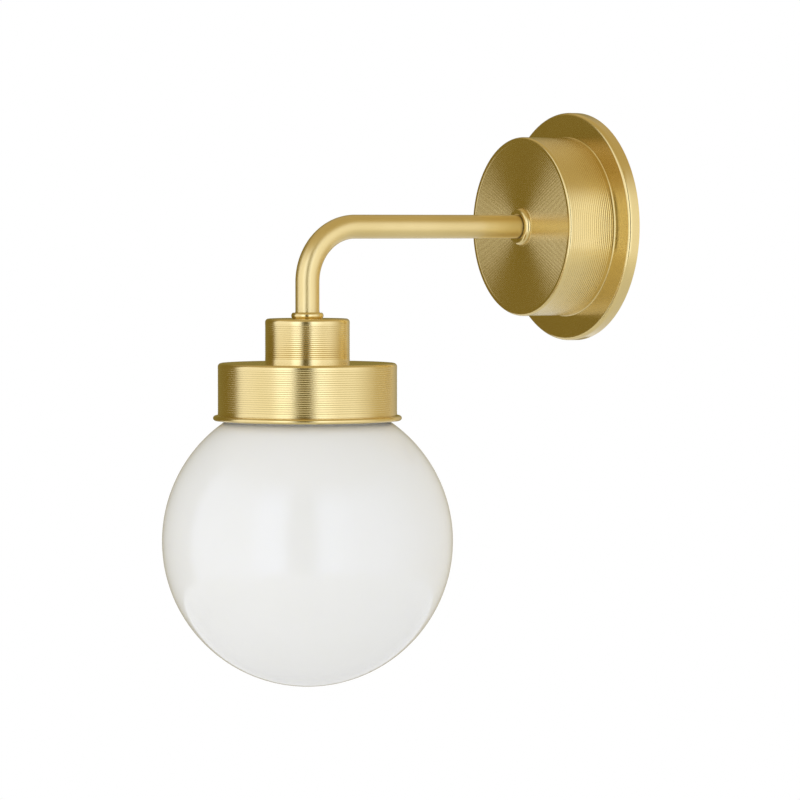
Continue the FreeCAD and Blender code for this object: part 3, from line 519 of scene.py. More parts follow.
def new_tree(name: str, inputs: dict[str, str]) -> tuple[Graph, bpy.types.NodeOutputs]:
    """Start a geometry tree.

    Args:
        name: the tree's name.
        inputs: the kind of each named input.

    Returns:
        The tree and its inputs, of which the first is the geometry.
    """
    tree = bpy.data.node_groups.new(name, "GeometryNodeTree")
    for title, kind in {"Geometry": "Geometry", **inputs}.items():
        tree.interface.new_socket(title, in_out="INPUT", socket_type="NodeSocket" + kind)
    tree.interface.new_socket("Geometry", in_out="OUTPUT", socket_type="NodeSocketGeometry")
    graph = Graph(tree)
    return graph, graph.add("NodeGroupInput")


def end_tree(graph: Graph, geometry: Socket, finish: Socket) -> Tree:
    """End a geometry tree: instances made real, then the material set."""
    real = graph.add("GeometryNodeRealizeInstances", {0: geometry})[0]
    dressed = graph.add("GeometryNodeSetMaterial", {"Geometry": real, "Material": finish})[0]
    graph.add("NodeGroupOutput", {0: dressed})
    return graph.tree


def run_tree(piece: Piece, tree: Tree, values: dict[str, object]) -> Piece:
    """Apply a geometry tree to a piece, with its input values set by each socket's identifier.

    Args:
        piece: the object that carries the base mesh.
        tree: the geometry tree.
        values: a value for each named input.

    Returns:
        The same object, a plain mesh.
    """
    modifier = piece.modifiers.new(tree.name, "NODES")
    modifier.node_group = tree
    for item in tree.interface.items_tree:
        if item.in_out == "INPUT" and item.name in values:
            modifier[item.identifier] = values[item.name]
    return settle(piece)


def turning_tree() -> Tree:
    """Build the tree that turns an outline about the Z axis and cuts ribs, rings or a thread into it.

    The outline's points are laid round the axis by a grid. Where the outline is marked as ribbed, the surface
    goes in by the rib depth between the crests. A lead of 0 makes closed rings and a lead of 1 makes a thread.

    Returns:
        The geometry tree.
    """
    floats = ("Rib Count", "Rib Depth", "Lead", "Rounding", "Run Out")
    graph, put = new_tree("Turning", {"Segments": "Int", **dict.fromkeys(floats, "Float"), "Finish": "Material"})
    calc, product = graph.calc, graph.product
    count = graph.add("GeometryNodeAttributeDomainSize", {0: put["Geometry"]})["Point Count"]
    grid = {"Vertices X": calc("ADD", put["Segments"], 1), "Vertices Y": count}
    index = graph.add("GeometryNodeInputIndex")[0]
    row = calc("FLOORED_MODULO", index, count)
    column = calc("FLOOR", calc("DIVIDE", calc("ADD", index, 0.5), count))
    share = calc("DIVIDE", column, put["Segments"])
    turn = product(share, 2 * math.pi)

    def sample(value: Socket, kind: str) -> Socket:
        """Read a value of the outline at the grid point's row."""
        taken = {"Geometry": put["Geometry"], "Value": value, "Index": row}
        return graph.add("GeometryNodeSampleIndex", taken, data_type=kind, domain="POINT")[0]

    place = sample(graph.add("GeometryNodeInputPosition")[0], "FLOAT_VECTOR")
    out = sample(graph.attribute("out"), "FLOAT_VECTOR")
    run = sample(graph.attribute("run", "FLOAT"), "FLOAT")
    crest = sample(graph.attribute("crest", "FLOAT"), "FLOAT")
    phase = calc("ADD", product(run, put["Rib Count"]), product(put["Lead"], share))
    ridge = calc("POWER", calc("PINGPONG", product(phase, 2.0), 1.0), crest)
    swing = calc("SINE", product(phase, math.pi))
    shapes = {"Factor": put["Rounding"], 2: ridge, 3: product(swing, swing)}
    height = graph.add("Mix", shapes, data_type="FLOAT")[0]
    # a thread fades out over the given share of its run at both ends, and rings don't
    nearer = calc("MINIMUM", run, calc("SUBTRACT", 1.0, run))
    fading = calc("MINIMUM", calc("DIVIDE", nearer, put["Run Out"]), 1.0)
    strength = calc("MAXIMUM", fading, calc("LESS_THAN", put["Run Out"], 1e-6))
    depth = product(put["Rib Depth"], product(calc("GREATER_THAN", run, -0.5), strength))
    moved = graph.vector("SCALE", out, product(calc("SUBTRACT", height, 1.0), depth))
    parts = graph.add("SeparateXYZ", {0: graph.vector("ADD", place, moved)})
    ray = graph.add("CombineXYZ", {0: calc("COSINE", turn), 1: calc("SINE", turn)})[0]
    level = graph.add("CombineXYZ", {2: parts["Z"]})[0]
    final = graph.vector("ADD", graph.vector("SCALE", ray, parts["X"]), level)
    sheet = graph.add("GeometryNodeMeshGrid", grid)["Mesh"]
    placed = graph.add("GeometryNodeSetPosition", {"Geometry": sheet, "Position": final})[0]
    merged = graph.add("GeometryNodeMergeByDistance", {"Geometry": placed, "Distance": 1e-7})[0]
    return end_tree(graph, merged, put["Finish"])


def placing_tree() -> Tree:
    """Build the tree that sets one screw on each marked place, facing as the place says and turned by chance."""
    graph, put = new_tree("Placing", {"Screw": "Object", "Seed": "Int", "Finish": "Material"})
    screw = graph.add("GeometryNodeObjectInfo", {"Object": put["Screw"]}, transform_space="ORIGINAL")["Geometry"]
    chance = graph.add("FunctionNodeRandomValue", {"Seed": put["Seed"]}, data_type="FLOAT")[1]
    turned = {"Axis": UP, "Angle": graph.product(chance, 2 * math.pi)}
    facing = {
        "Rotation": graph.add("FunctionNodeAxisAngleToRotation", turned)[0],
        "Vector": graph.attribute("facing"),
    }
    faced = graph.add("FunctionNodeAlignRotationToVector", facing, axis="Z")[0]
    lot = {"Points": put["Geometry"], "Instance": screw, "Rotation": faced}
    return end_tree(graph, graph.add("GeometryNodeInstanceOnPoints", lot)[0], put["Finish"])


def bar_tree() -> Tree:
    """Build the tree that draws a round bar, or a tube with a bore, along a path."""
    graph, put = new_tree("Bar", {"Radius": "Float", "Bore": "Float", "Sides": "Int", "Finish": "Material"})
    path = graph.add("GeometryNodeMeshToCurve", {0: put["Geometry"]})[0]
    hollow = graph.calc("GREATER_THAN", put["Bore"], 1e-6)
    capped = graph.calc("SUBTRACT", 1.0, hollow)
    skins = []
    for size in ("Radius", "Bore"):
        ring = {"Resolution": put["Sides"], "Radius": put[size]}
        told = {
            "Geometry": graph.add("GeometryNodeCurvePrimitiveCircle", ring, mode="RADIUS")[0],
            "Name": "round",
            "Value": graph.add("GeometryNodeSplineParameter")["Factor"],
        }
        circle = graph.add("GeometryNodeStoreNamedAttribute", told, data_type="FLOAT", domain="POINT")[0]
        swept = {"Curve": path, "Profile Curve": circle, "Fill Caps": capped}
        skins.append(graph.add("GeometryNodeCurveToMesh", swept)[0])
    inner = graph.add("GeometryNodeFlipFaces", {0: skins[1]})[0]
    wanted = graph.add("GeometryNodeSwitch", {"Switch": hollow, "True": inner}, input_type="GEOMETRY")[0]
    both = graph.add("GeometryNodeJoinGeometry", {0: skins[0]})[0]
    graph.tree.links.new(wanted, both.node.inputs[0])
    return end_tree(graph, both, put["Finish"])


TURNING = turning_tree()
PLACING = placing_tree()
BAR = bar_tree()


@dataclass(frozen=True)
class Ribs:
    """Ribs, rings or a thread on the marked runs of a turned piece."""

    count: float = 1.0
    depth_mm: float = 0.0
    lead: float = 0.0
    rounding: float = 0.0
    run_out: float = 0.0


def thread(turns: float, depth_mm: float, rounding: float = 1.0) -> Ribs:
    """Describe a one-start thread that fades out over half a turn at both ends."""
    return Ribs(turns, depth_mm, 1.0, rounding, min(0.5 / turns, 0.4))


def turn_piece(
    name: str, outline: Outline, stand: Stand, finish: Finish, ribs: Ribs = Ribs(), segments: int = 256
) -> Piece:
    """Turn an outline into a finished piece in its place.

    Args:
        name: the piece's name.
        outline: its cross-section.
        stand: the axis that it is set on.
        finish: its material.
        ribs: the ribs of its marked run, if it has one.
        segments: the number of steps round.

    Returns:
        The new object, a plain mesh.
    """
    values = {
        "Segments": segments,
        "Rib Count": float(ribs.count),
        "Rib Depth": ribs.depth_mm * MM,
        "Lead": ribs.lead,
        "Rounding": ribs.rounding,
        "Run Out": ribs.run_out,
        "Finish": finish.build(),
    }
    piece = run_tree(new_piece(name, outline.mesh(name)), TURNING, values)
    piece.data.transform(stand.value)
    return piece


def draw_bar(name: str, path: Mesh, finish: Finish, radius: float, sides: int, bore: float = 0.0) -> Piece:
    """Draw a round bar along a path, or a tube if it has a bore; millimetres."""
    values = {"Radius": radius * MM, "Bore": bore * MM, "Sides": sides, "Finish": finish.build()}
    return run_tree(new_piece(name, path), BAR, values)


def stand_in(piece: Piece, node: str, body: str = "fixture") -> Piece:
    """Let a piece ride its body in place of its CAD node."""
    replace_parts(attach(piece, body), node)
    return piece


# ---------------------------------------------------------------- the lamp's sub-assemblies


def screw_places(circle: float, count: int = 3) -> list[Pair]:
    """Give the (x, z) places of the screws round the canopy, the first one towards +X."""
    turns = [2 * math.pi * i / count for i in range(count)]
    return [(circle * math.cos(t), circle * math.sin(t)) for t in turns]


@dataclass
class Canopy:
    """The round base on the wall: flange, ribbed cup and the small ring round the tube."""

    flange_radius: float = 60.6
    flange_depth: float = 6.3
    flange_wall: float = 1.8
    flange_rounding: float = 2.0
    opening_radius: float = 36.0
    cup_radius: float = 47.4
    cup_height: float = 28.4
    cup_wall: float = 1.6
    cup_rounding: float = 1.4
    cup_rear_band: float = 1.8
    cup_front_band: float = 1.9
    side_ribs: int = 20
    side_crest: float = 0.5
    side_share: float = 0.6
    face_rings: int = 32
    ring_pitch: float = 1.07
    ring_share: float = 0.6
    rib_depth: float = 0.2
    foot_ledge: float = 6.0
    foot_height: float = 4.0
    foot_flare: float = 0.6
    foot_step: float = 0.15
    cover_radius: float = 10.0
    cover_height: float = 2.2
    cover_seat: float = 0.8
    cover_mouth: float = 6.8
    cover_lip: float = 2.1
    cover_dome: Pair = (0.74, 1.58)
    nipple_hole: float = 5.1
    screw_circle: float = 42.0
    screw_hole: float = 1.7
    lock_hole: float = 1.55
    lock_station: float = 2.3
    lock_depth: float = 4.0

    def build(self) -> list[Piece]:
        """Make the three pieces and set them for their CAD nodes."""
        made = {"wall_flange": self.flange(), "canopy_cup": self.cup(), "canopy_cover_ring": self.cover()}
        return [stand_in(piece, node) for node, piece in made.items()]

    def flange(self) -> Piece:
        """Turn the flat pan with its rounded rim, and drill it."""
        web = self.flange_depth - self.flange_wall
        side = self.flange_radius - self.flange_wall
        outline = Outline(self.opening_radius, web).lines((self.opening_radius, self.flange_depth))
        outline.corner(self.flange_radius, self.flange_depth, self.flange_rounding, 90)
        outline.lines((self.flange_radius, 0), (side, 0), (side, web))
        pan = turn_piece("flange_pan", outline, Stand.WALL, WALL_BRASS, segments=320)
        deep = 2 * self.flange_depth
        holes = [(self.screw_hole, (x, 0.0, z), TO_ROOM, deep) for x, z in screw_places(self.screw_circle)]
        for way in (DOWN, UP):
            start = (0.0, -self.lock_station, way[2] * (self.flange_radius - self.lock_depth))
            holes.append((self.lock_hole, start, way, 2 * deep))
        return drill(pan, holes)

    def cup(self) -> Piece:
        """Turn the cup with the rings of its face and the reeds of its side."""
        foot = self.flange_depth
        face = foot + self.cup_height
        plate = face - self.cup_wall
        bore = self.cup_radius - self.rib_depth - self.cup_wall
        ledge, ledge_top = bore - self.foot_ledge, foot + self.foot_height
        flare = self.cup_radius + self.foot_flare
        rings_start = self.cover_radius + 0.5 * self.ring_pitch
        rings_end = rings_start + self.face_rings * self.ring_pitch
        side_end = (self.cup_radius, foot + self.cup_rear_band)
        # the side has fewer reeds than the face has rings, so its run is counted in the face's rings
        span = (0.0, self.side_ribs / self.face_rings)
        outline = Outline(self.nipple_hole, plate).lines((self.nipple_hole, face), (rings_start, face))
        outline.ribbed((rings_end, face), self.face_rings * RING_STEPS, (0.0, self.ring_share))
        outline.corner(self.cup_radius, face, self.cup_rounding, 90)
        outline.lines((self.cup_radius, face - self.cup_front_band))
        outline.ribbed(side_end, self.side_ribs * RIB_STEPS, (self.side_share, 0.0), self.side_crest, span)
        outline.bend((flare, foot + self.foot_step + self.foot_flare), self.foot_flare, 180, 270, 6)
        outline.lines((flare, foot), (ledge, foot), (ledge, ledge_top), (bore, ledge_top), (bore, plate))
        rings = Ribs(self.face_rings, self.rib_depth)
        return turn_piece("canopy_shell", outline, Stand.WALL, WALL_BRASS, rings, 232)

    def cover(self) -> Piece:
        """Turn the small domed ring that hides the tube's end."""
        face = self.flange_depth + self.cup_height
        top, seat = face + self.cover_height, face + self.cover_seat
        outline = Outline(self.nipple_hole, face).lines((self.cover_radius, face))
        dome = (self.cover_radius - self.cover_dome[0], face + self.cover_dome[1])
        outline.arc(dome, (self.cover_radius - self.cover_lip, top))
        outline.lines((self.cover_mouth, top), (self.cover_mouth, seat), (self.nipple_hole, seat))
        return turn_piece("cover_dome", outline, Stand.WALL, WALL_BRASS, segments=128)


@dataclass
class Arm:
    """The bent tube from the canopy to the leg."""

    start: float = 35.5
    bend_radius: float = 28.5
    leg_end: float = -46.1
    tube_radius: float = 6.2
    tube_bore: float = 5.05
    bend_steps: int = 40
    sides: int = 64
    run_in: float = 2.0

    def build(self) -> list[Piece]:
        """Sweep the tube along its middle line."""
        straight = REACH - self.bend_radius
        points = [(0.0, y, 0.0) for y in (-self.start, -self.start - self.run_in, -straight + self.run_in)]
        for i in range(self.bend_steps + 1):
            turn = math.radians(90 * i / self.bend_steps)
            along, down = self.bend_radius * math.sin(turn), self.bend_radius * (1 - math.cos(turn))
            points.append((0.0, -straight - along, -down))
        levels = (-self.bend_radius - self.run_in, self.leg_end + self.run_in, self.leg_end)
        points += [(0.0, -REACH, z) for z in levels]
        path = chain("arm_path", points)
        tube = draw_bar("arm_bent_tube", path, TUBE_BRASS, self.tube_radius, self.sides, self.tube_bore)
        self.close_ends(tube.data)
        return [stand_in(tube, "arm_tube")]

    def close_ends(self, mesh: Mesh) -> None:
        """Join the outer and the inner skin at both ends of the tube."""
        middle = -0.5 * REACH * MM
        with editing(mesh) as work:
            for at_wall in (True, False):
                rims = [e for e in work.edges if e.is_boundary and (e.verts[0].co.y > middle) is at_wall]
                bmesh.ops.bridge_loops(work, edges=rims)
            bmesh.ops.recalc_face_normals(work, faces=work.faces)
            face_out(work)
        shade(mesh)


@dataclass
class Leg:
    """The bead collar, the small cap and the large cap under the tube."""

    collar_bottom: float = -47.3
    collar_edge: float = 7.65
    collar_bulge: float = 8.35
    collar_height: float = 3.0
    collar_mouth: float = 6.3
    collar_seat: float = 1.2
    fillet: Pair = (0.45, 0.5)
    fillet_middle: Pair = (0.15, 0.12)
    small_radius: float = 21.8
    small_height: float = 22.9
    small_bands: Pair = (2.8, 2.2)
    large_radius: float = 46.2
    large_height: float = 28.7
    large_bands: Pair = (2.4, 3.9)
    wall: float = 1.2
    rounding: float = 1.8
    inner_rounding: float = 0.8
    small_ribs: int = 17
    small_segments: int = 192
    large_ribs: int = 21
    large_segments: int = 288
    rib_depth: float = 0.2
    crest: float = 0.5
    share: float = 0.7
    bead_radius: float = 1.3
    bead_reach: float = 2.45
    bead_drop: float = 0.9
    bead_start: float = 131.0
    bead_foot: float = 0.75
    groove_height: float = 0.9
    groove_side: float = 0.8
    groove_depth: float = 0.6
    nipple_hole: float = 5.1
    holder_hole: float = 18.6

    def build(self) -> list[Piece]:
        """Make the three pieces and set them for their CAD nodes."""
        made = {"socket_collar": self.collar(), "small_cap": self.small_cap(), "large_cap": self.large_cap()}
        return [stand_in(piece, node) for node, piece in made.items()]

    def collar(self) -> Piece:
        """Turn the bead, with a small fillet where the tube stands in it."""
        low = self.collar_bottom
        top, seat, mouth = low + self.collar_height, low + self.collar_seat, self.collar_mouth
        outline = Outline(self.nipple_hole, low).lines((self.collar_edge, low))
        outline.arc((self.collar_bulge, low + 0.5 * self.collar_height), (self.collar_edge, top), 16)
        outline.lines((mouth + self.fillet[0], top))
        outline.arc((mouth + self.fillet_middle[0], top + self.fillet_middle[1]), (mouth, top + self.fillet[1]), 6)
        outline.lines((mouth, seat), (self.nipple_hole, seat))
        return turn_piece("bead_collar", outline, Stand.LEG, LEG_BRASS, segments=128)

    def shoulder(self, hole: float, radius: float, top: float, low: float, bands: Pair, ribs: int) -> Outline:
        """Draw what both caps share: the flat top round its hole, the rounded shoulder and the reeded side."""
        outline = Outline(hole, top - self.wall).lines((hole, top))
        outline.corner(radius, top, self.rounding, 90).lines((radius, top - bands[0]))
        return outline.ribbed((radius, low + bands[1]), ribs * RIB_STEPS, (self.share, 0.0), self.crest)

    def hollow(self, outline: Outline, radius: float, top: float, low: float) -> Outline:
        """Close a cap's outline along its inside."""
        bore = radius - self.rib_depth - self.wall
        return outline.lines((bore, low)).corner(bore, top - self.wall, self.inner_rounding, 0, 6)

    def small_cap(self) -> Piece:
        """Turn the small cap with its reeds."""
        radius, top = self.small_radius, self.collar_bottom
        low = top - self.small_height
        outline = self.shoulder(self.nipple_hole, radius, top, low, self.small_bands, self.small_ribs)
        self.hollow(outline.lines((radius, low)), radius, top, low)
        ribs = Ribs(self.small_ribs, self.rib_depth)
        return turn_piece("small_reeded_cap", outline, Stand.LEG, LEG_BRASS, ribs, self.small_segments)

    def large_cap(self) -> Piece:
        """Turn the large cap with its reeds and its lower edge rolled into a bead under a groove."""
        radius, top = self.large_radius, self.collar_bottom - self.small_height
        low = top - self.large_height - self.bead_drop
        centre = (radius + self.bead_reach - self.bead_radius, low + self.bead_radius)
        neck, foot = radius - self.groove_depth, centre[1] + self.bead_foot * self.bead_radius
        outline = self.shoulder(self.holder_hole, radius, top, low, self.large_bands, self.large_ribs)
        side = foot + self.groove_side * self.groove_height
        outline.lines((radius, foot + self.groove_height), (neck, side), (neck, foot))
        outline.bend(centre, self.bead_radius, self.bead_start, -90, 24)
        self.hollow(outline, radius, top, low)
        ribs = Ribs(self.large_ribs, self.rib_depth)
        return turn_piece("large_reeded_cap", outline, Stand.LEG, LEG_BRASS, ribs, self.large_segments)


@dataclass
class Globe:
    """The opal glass with its threaded neck."""

    radius: float = 75.0
    wall: float = 2.6
    centre: float = -162.097
    neck_radius: float = 42.25
    neck_top: float = -85.0
    thread_span: Pair = (-97.5, -87.5)
    thread_turns: int = 2
    thread_depth: float = 0.3
    fillet: float = 2.0
    lip: float = 0.8

    def build(self) -> list[Piece]:
        """Turn the blown glass, with two turns of a coarse glass thread on its neck."""
        inner, bore = self.radius - self.wall, self.neck_radius - self.wall
        fillet_radius = self.neck_radius + self.fillet
        fillet_height = self.centre + math.sqrt((self.radius + self.fillet) ** 2 - fillet_radius**2)
        turn = math.degrees(math.atan2(fillet_height - self.centre, fillet_radius))
        centre = (0.0, self.centre)
        outline = Outline(0.0, self.centre - self.radius)
        outline.bend(centre, self.radius, -90, turn, 150)
        outline.bend((fillet_radius, fillet_height), self.fillet, 180 + turn, 180, 8)
        outline.lines((self.neck_radius, self.thread_span[0])).ribbed((self.neck_radius, self.thread_span[1]), 40)
        outline.corner(self.neck_radius, self.neck_top, self.lip, 0, 6)
        outline.bend((bore + self.lip, self.neck_top - self.lip), self.lip, 90, 180, 6)
        outline.bend(centre, inner, math.degrees(math.acos(bore / inner)), -90, 110)
        glass = turn_piece("opal_globe", outline, Stand.LEG, OPAL_GLASS, thread(self.thread_turns, self.thread_depth))
        return [stand_in(glass, "globe", "globe")]


class Drive(Enum):
    """The recess in a screw's head, with the reach of its bars as a share of the head's radius."""

    SLOT = 1.2
    CROSS = 0.62
    HEXAGON = 0.0


@dataclass(frozen=True)
class Screw:
    """A machine screw that stands on Z, with the seat of its head at height 0; millimetres."""

    name: str
    shank_radius: float
    shank_length: float
    head_radius: float
    head_height: float
    drive: Drive
    drive_width: float
    drive_depth: float
    pitch: float
    head_rounding: float
    washer_radius: float = 0.0
    washer_thickness: float = 0.0
    plain_neck: float = 0.3
    overcut: float = 1.0

    def outline(self) -> Outline:
        """Draw the screw from its tip to the top of its head."""
        tip, washer = -self.shank_length, self.washer_thickness
        lead_in = min(0.6 * self.pitch, 0.4 * self.shank_radius)
        top = washer + self.head_height
        shape = Outline(0.0, tip).lines((self.shank_radius - lead_in, tip), (self.shank_radius, tip + lead_in))
        steps = max(THREAD_STEPS, round(THREAD_STEPS * self.shank_length / self.pitch))
        shape.ribbed((self.shank_radius, -self.plain_neck), steps)
        if washer:
            shape.lines((self.washer_radius, 0.0), (self.washer_radius, washer))
        shape.lines((self.head_radius, washer if self.head_radius > self.shank_radius else 0.0))
        return shape.corner(self.head_radius, top, self.head_rounding, 0, 6).lines((0.0, top))

    def cutter(self) -> Piece:
        """Make the solid that cuts the recess: a bar for a slot, two for a cross, a prism for a hexagon."""
        top = self.washer_thickness + self.head_height
        reach, half = self.drive.value * self.head_radius, 0.5 * self.drive_width
        bars = [(reach, half), (half, reach)] if self.drive is Drive.CROSS else [(reach, half)]
        shapes = [[(-a, -b), (a, -b), (a, b), (-a, b)] for a, b in bars]
        if self.drive is Drive.HEXAGON:
            shapes = [[on_circle((0.0, 0.0), self.drive_width / math.sqrt(3), 60 * i) for i in range(6)]]
        mesh = bpy.data.meshes.new(self.name + "_recess")
        with editing(mesh) as work:
            for corners in shapes:
                extrude_up(work, corners, top - self.drive_depth, top + self.overcut)
        return new_piece(mesh.name, mesh)

    def build(self) -> Piece:
        """Turn the screw with its thread and cut its recess."""
        cut = thread(max(1.0, round(self.shank_length / self.pitch)), 0.5 * self.pitch, 0.4)
        return carve(turn_piece(self.name, self.outline(), Stand.BENCH, SCREW_STEEL, cut, 48), self.cutter())


def extrude_up(work: bmesh.types.BMesh, corners: Sequence[Pair], low: float, high: float) -> None:
    """Add a closed prism over the corners, between two heights, all in millimetres."""
    floor, roof = ([work.verts.new((x * MM, y * MM, z * MM)) for x, y in corners] for z in (low, high))
    work.faces.new(list(reversed(floor)))
    work.faces.new(roof)
    for i in range(len(corners)):
        work.faces.new((floor[i - 1], floor[i], roof[i], roof[i - 1]))


def carve(piece: Piece, cutter: Piece) -> Piece:
    """Cut the shape of a closed object out of a piece and take the cutter away."""
    cut = piece.modifiers.new("cut", "BOOLEAN")
    cut.operation, cut.solver, cut.use_self, cut.object = "DIFFERENCE", "EXACT", True, cutter
    settle(piece)
    bpy.data.objects.remove(cutter)
    return piece


def drill(piece: Piece, holes: Sequence[tuple[float, Point, Point, float]]) -> Piece:
    """Drill round holes, each given by its radius, start, direction and length in millimetres."""
    mesh = bpy.data.meshes.new(piece.name + "_drill")
    with editing(mesh) as work:
        for radius, start, way, length in holes:
            middle = (Vector(start) + Vector(way) * (0.5 * length)) * MM
            stand = Matrix.Translation(middle) @ Vector(way).to_track_quat("Z", "Y").to_matrix().to_4x4()
            sizes = {"radius1": radius * MM, "radius2": radius * MM, "depth": length * MM}
            bmesh.ops.create_cone(work, cap_ends=True, segments=32, matrix=stand, **sizes)
    return carve(piece, new_piece(mesh.name, mesh))


def set_screws(node: str, seed: int, screw: Screw, places: Sequence[Point], way: Sequence[Point]) -> Piece:
    """Set one screw at each place and let the lot stand for its CAD node.

    Args:
        node: the CAD node's name.
        seed: the seed of the turns at which the screws stopped.
        screw: the screw that is repeated.
        places: the seat of each head in millimetres.
        way: the ways that the heads face, repeated for all places.

    Returns:
        The screws as one plain mesh.
    """
    pattern = screw.build()
    mesh = chain(screw.name + "s", places, linked=False)
    mark(mesh, "facing", [way[i % len(way)] for i in range(len(places))])
    values = {"Screw": pattern, "Seed": seed, "Finish": SCREW_STEEL.build()}
    lot = run_tree(new_piece(mesh.name, mesh), PLACING, values)
    bpy.data.objects.remove(pattern)
    return stand_in(lot, node)


@dataclass
class Fasteners:
    """The screws behind the canopy, in the terminal strip and in the lampholder."""

    lock_place: Pair = (2.3, 60.0)
    canopy_circle: float = 42.0
    flange_web: float = 4.5
    earth_place: Pair = (2.0, 18.0)
    pole_pitch: float = 9.0
    clamp_seat: float = 10.3
    clamp_spacing: float = 8.0
    block_middle: float = -18.2
    fixing_seat: float = 7.5
    post_middle: float = 9.75
    post_seat: float = -57.4

    def build(self) -> list[Piece]:
        """Set each kind of screw at its places."""
        grub = Screw("lock_screw", 1.5, 4.5, 1.5, 0.5, Drive.HEXAGON, 1.5, 1.6, 0.5, 0.1)
        pan = Screw("canopy_screw", 1.5, 5.2, 2.8, 1.8, Drive.CROSS, 0.7, 1.1, 0.5, 0.7)
        clamp = Screw("clamp_screw", 1.2, 1.85, 1.9, 1.8, Drive.SLOT, 0.5, 0.9, 0.45, 0.25)
        fixing = Screw("fixing_screw", 1.3, 7.5, 1.9, 1.4, Drive.CROSS, 0.55, 0.8, 0.5, 0.5)
        earth = Screw("earth_screw", 2.0, 2.0, 3.8, 2.6, Drive.SLOT, 0.9, 1.3, 0.7, 0.8, 4.6, 1.2)
        post = Screw("post_screw", 1.25, 2.1, 2.2, 1.4, Drive.SLOT, 0.55, 0.7, 0.45, 0.4)
        locks = [(0.0, -self.lock_place[0], side * self.lock_place[1]) for side in (1, -1)]
        rear = [(x, -self.flange_web, z) for x, z in screw_places(self.canopy_circle)]
        heights = [self.block_middle + side * 0.5 * self.clamp_spacing for side in (-1, 1)]
        clamps = [(i * self.pole_pitch, -self.clamp_seat, z) for i in (-1, 0, 1) for z in heights]
        fixings = [(-0.5 * self.pole_pitch, -self.fixing_seat, self.block_middle)]
        earths = [(0.0, -self.earth_place[0], self.earth_place[1])]
        posts = [(side * self.post_middle, -REACH, self.post_seat) for side in (-1, 1)]
        return [
            set_screws("flange_lock_screws", 3, grub, locks, (UP, DOWN)),
            set_screws("canopy_screws", 5, pan, rear, (TO_WALL,)),
            set_screws("terminal_clamp_screws", 11, clamp, clamps, (TO_ROOM,)),
            set_screws("terminal_fixing_screw", 13, fixing, fixings, (TO_ROOM,)),
            set_screws("bracket_earth_screw", 17, earth, earths, (TO_ROOM,)),
            set_screws("holder_terminal_screws", 19, post, posts, (UP,)),
        ]


@dataclass
class Wires:
    """The live, neutral and earth wires: round insulation with a stripped copper end in each terminal."""

    radius: float = 1.0
    core_radius: float = 0.45
    core_length: float = 5.0
    sides: int = 20
    core_sides: int = 12
    side_step: float = 1.15
    post_end: float = 6.6
    post_level: float = -60.0
    bush_mouth: float = -16.3
    bush_inside: float = -30.0
    bend_legs: tuple[Pair, ...] = ((-REACH, -40.3), (-REACH, -16.7), (-149.3, 0.0), (-125.7, 0.0))
    barrel_level: float = -8.0
    drop: float = -2.0
    block_end: float = -9.8
    pole_pitch: float = 9.0
    tag_place: Pair = (-13.0, -32.3)

    def build(self) -> list[Piece]:
        """Draw the three wires: two from the posts of the lampholder and one from the tongue of the earth tag."""
        wires = []
        for kind, vinyl, side, pole in (("live", LIVE_VINYL, 1, 1), ("neutral", NEUTRAL_VINYL, -1, 0)):
            x = side * self.side_step
            route = [(side * self.post_end, -REACH, self.post_level), (x, -REACH, self.post_level)]
            route += [(x, y, z) for y, z in (*self.bend_legs, (self.bush_inside, 0.0))]
            route += self.ending(x, pole)
            wires.append(self.wire(kind, vinyl, route, [(route[0], (float(side), 0.0, 0.0)), (route[-1], DOWN)]))
        x, station = self.tag_place
        route = [(x, station, 0.0), *self.ending(x, -1)]
        return wires + [self.wire("earth", EARTH_VINYL, route, [(route[-1], DOWN)])]

    def ending(self, x: float, pole: int) -> list[Point]:
        """Give the last control points of each wire: out of the bush and down into its pole of the strip."""
        at_pole = pole * self.pole_pitch
        last = [(at_pole, self.barrel_level, level) for level in (self.drop, self.block_end)]
        return [(x, self.bush_mouth, 0.0), *last]

    def route_mesh(self, name: str, points: Sequence[Point]) -> Mesh:
        """Give the chain of vertices that a smooth NURBS line with these control points runs through."""
        curve = bpy.data.curves.new(name, "CURVE")
        curve.dimensions = "3D"
        curve.resolution_u = 12
        spline = curve.splines.new("NURBS")
        spline.points.add(len(points) - 1)
        for held, point in zip(spline.points, points):
            held.co = (*(v * MM for v in point), 1.0)
        spline.order_u = 3
        spline.use_endpoint_u = True
        line = new_piece(name, curve)
        mesh = final_mesh(line)
        bpy.data.objects.remove(line)
        return mesh

    def wire(self, kind: str, vinyl: Finish, route: list[Point], bare: Sequence[tuple[Point, Point]]) -> Piece:
        """Draw the insulation along a route and the bare cores at its ends, and join them to one piece.

        Args:
            kind: the wire's name in its CAD node.
            vinyl: the finish of the insulation.
            route: the control points of its middle line.
            bare: the ends that are stripped, each with the way that its core points.

        Returns:
            The wire.
        """
        node = kind + "_wire"
        jacket = draw_bar(node + "_laid", self.route_mesh(node + "_line", route), vinyl, self.radius, self.sides)
        for end, way in bare:
            middle, along = Vector(end), Vector(way)
            path = chain(node + "_core", (middle - along, middle, middle + along * self.core_length))
            join(jacket, draw_bar(node + "_core", path, COPPER, self.core_radius, self.core_sides))
        return stand_in(jacket, node)


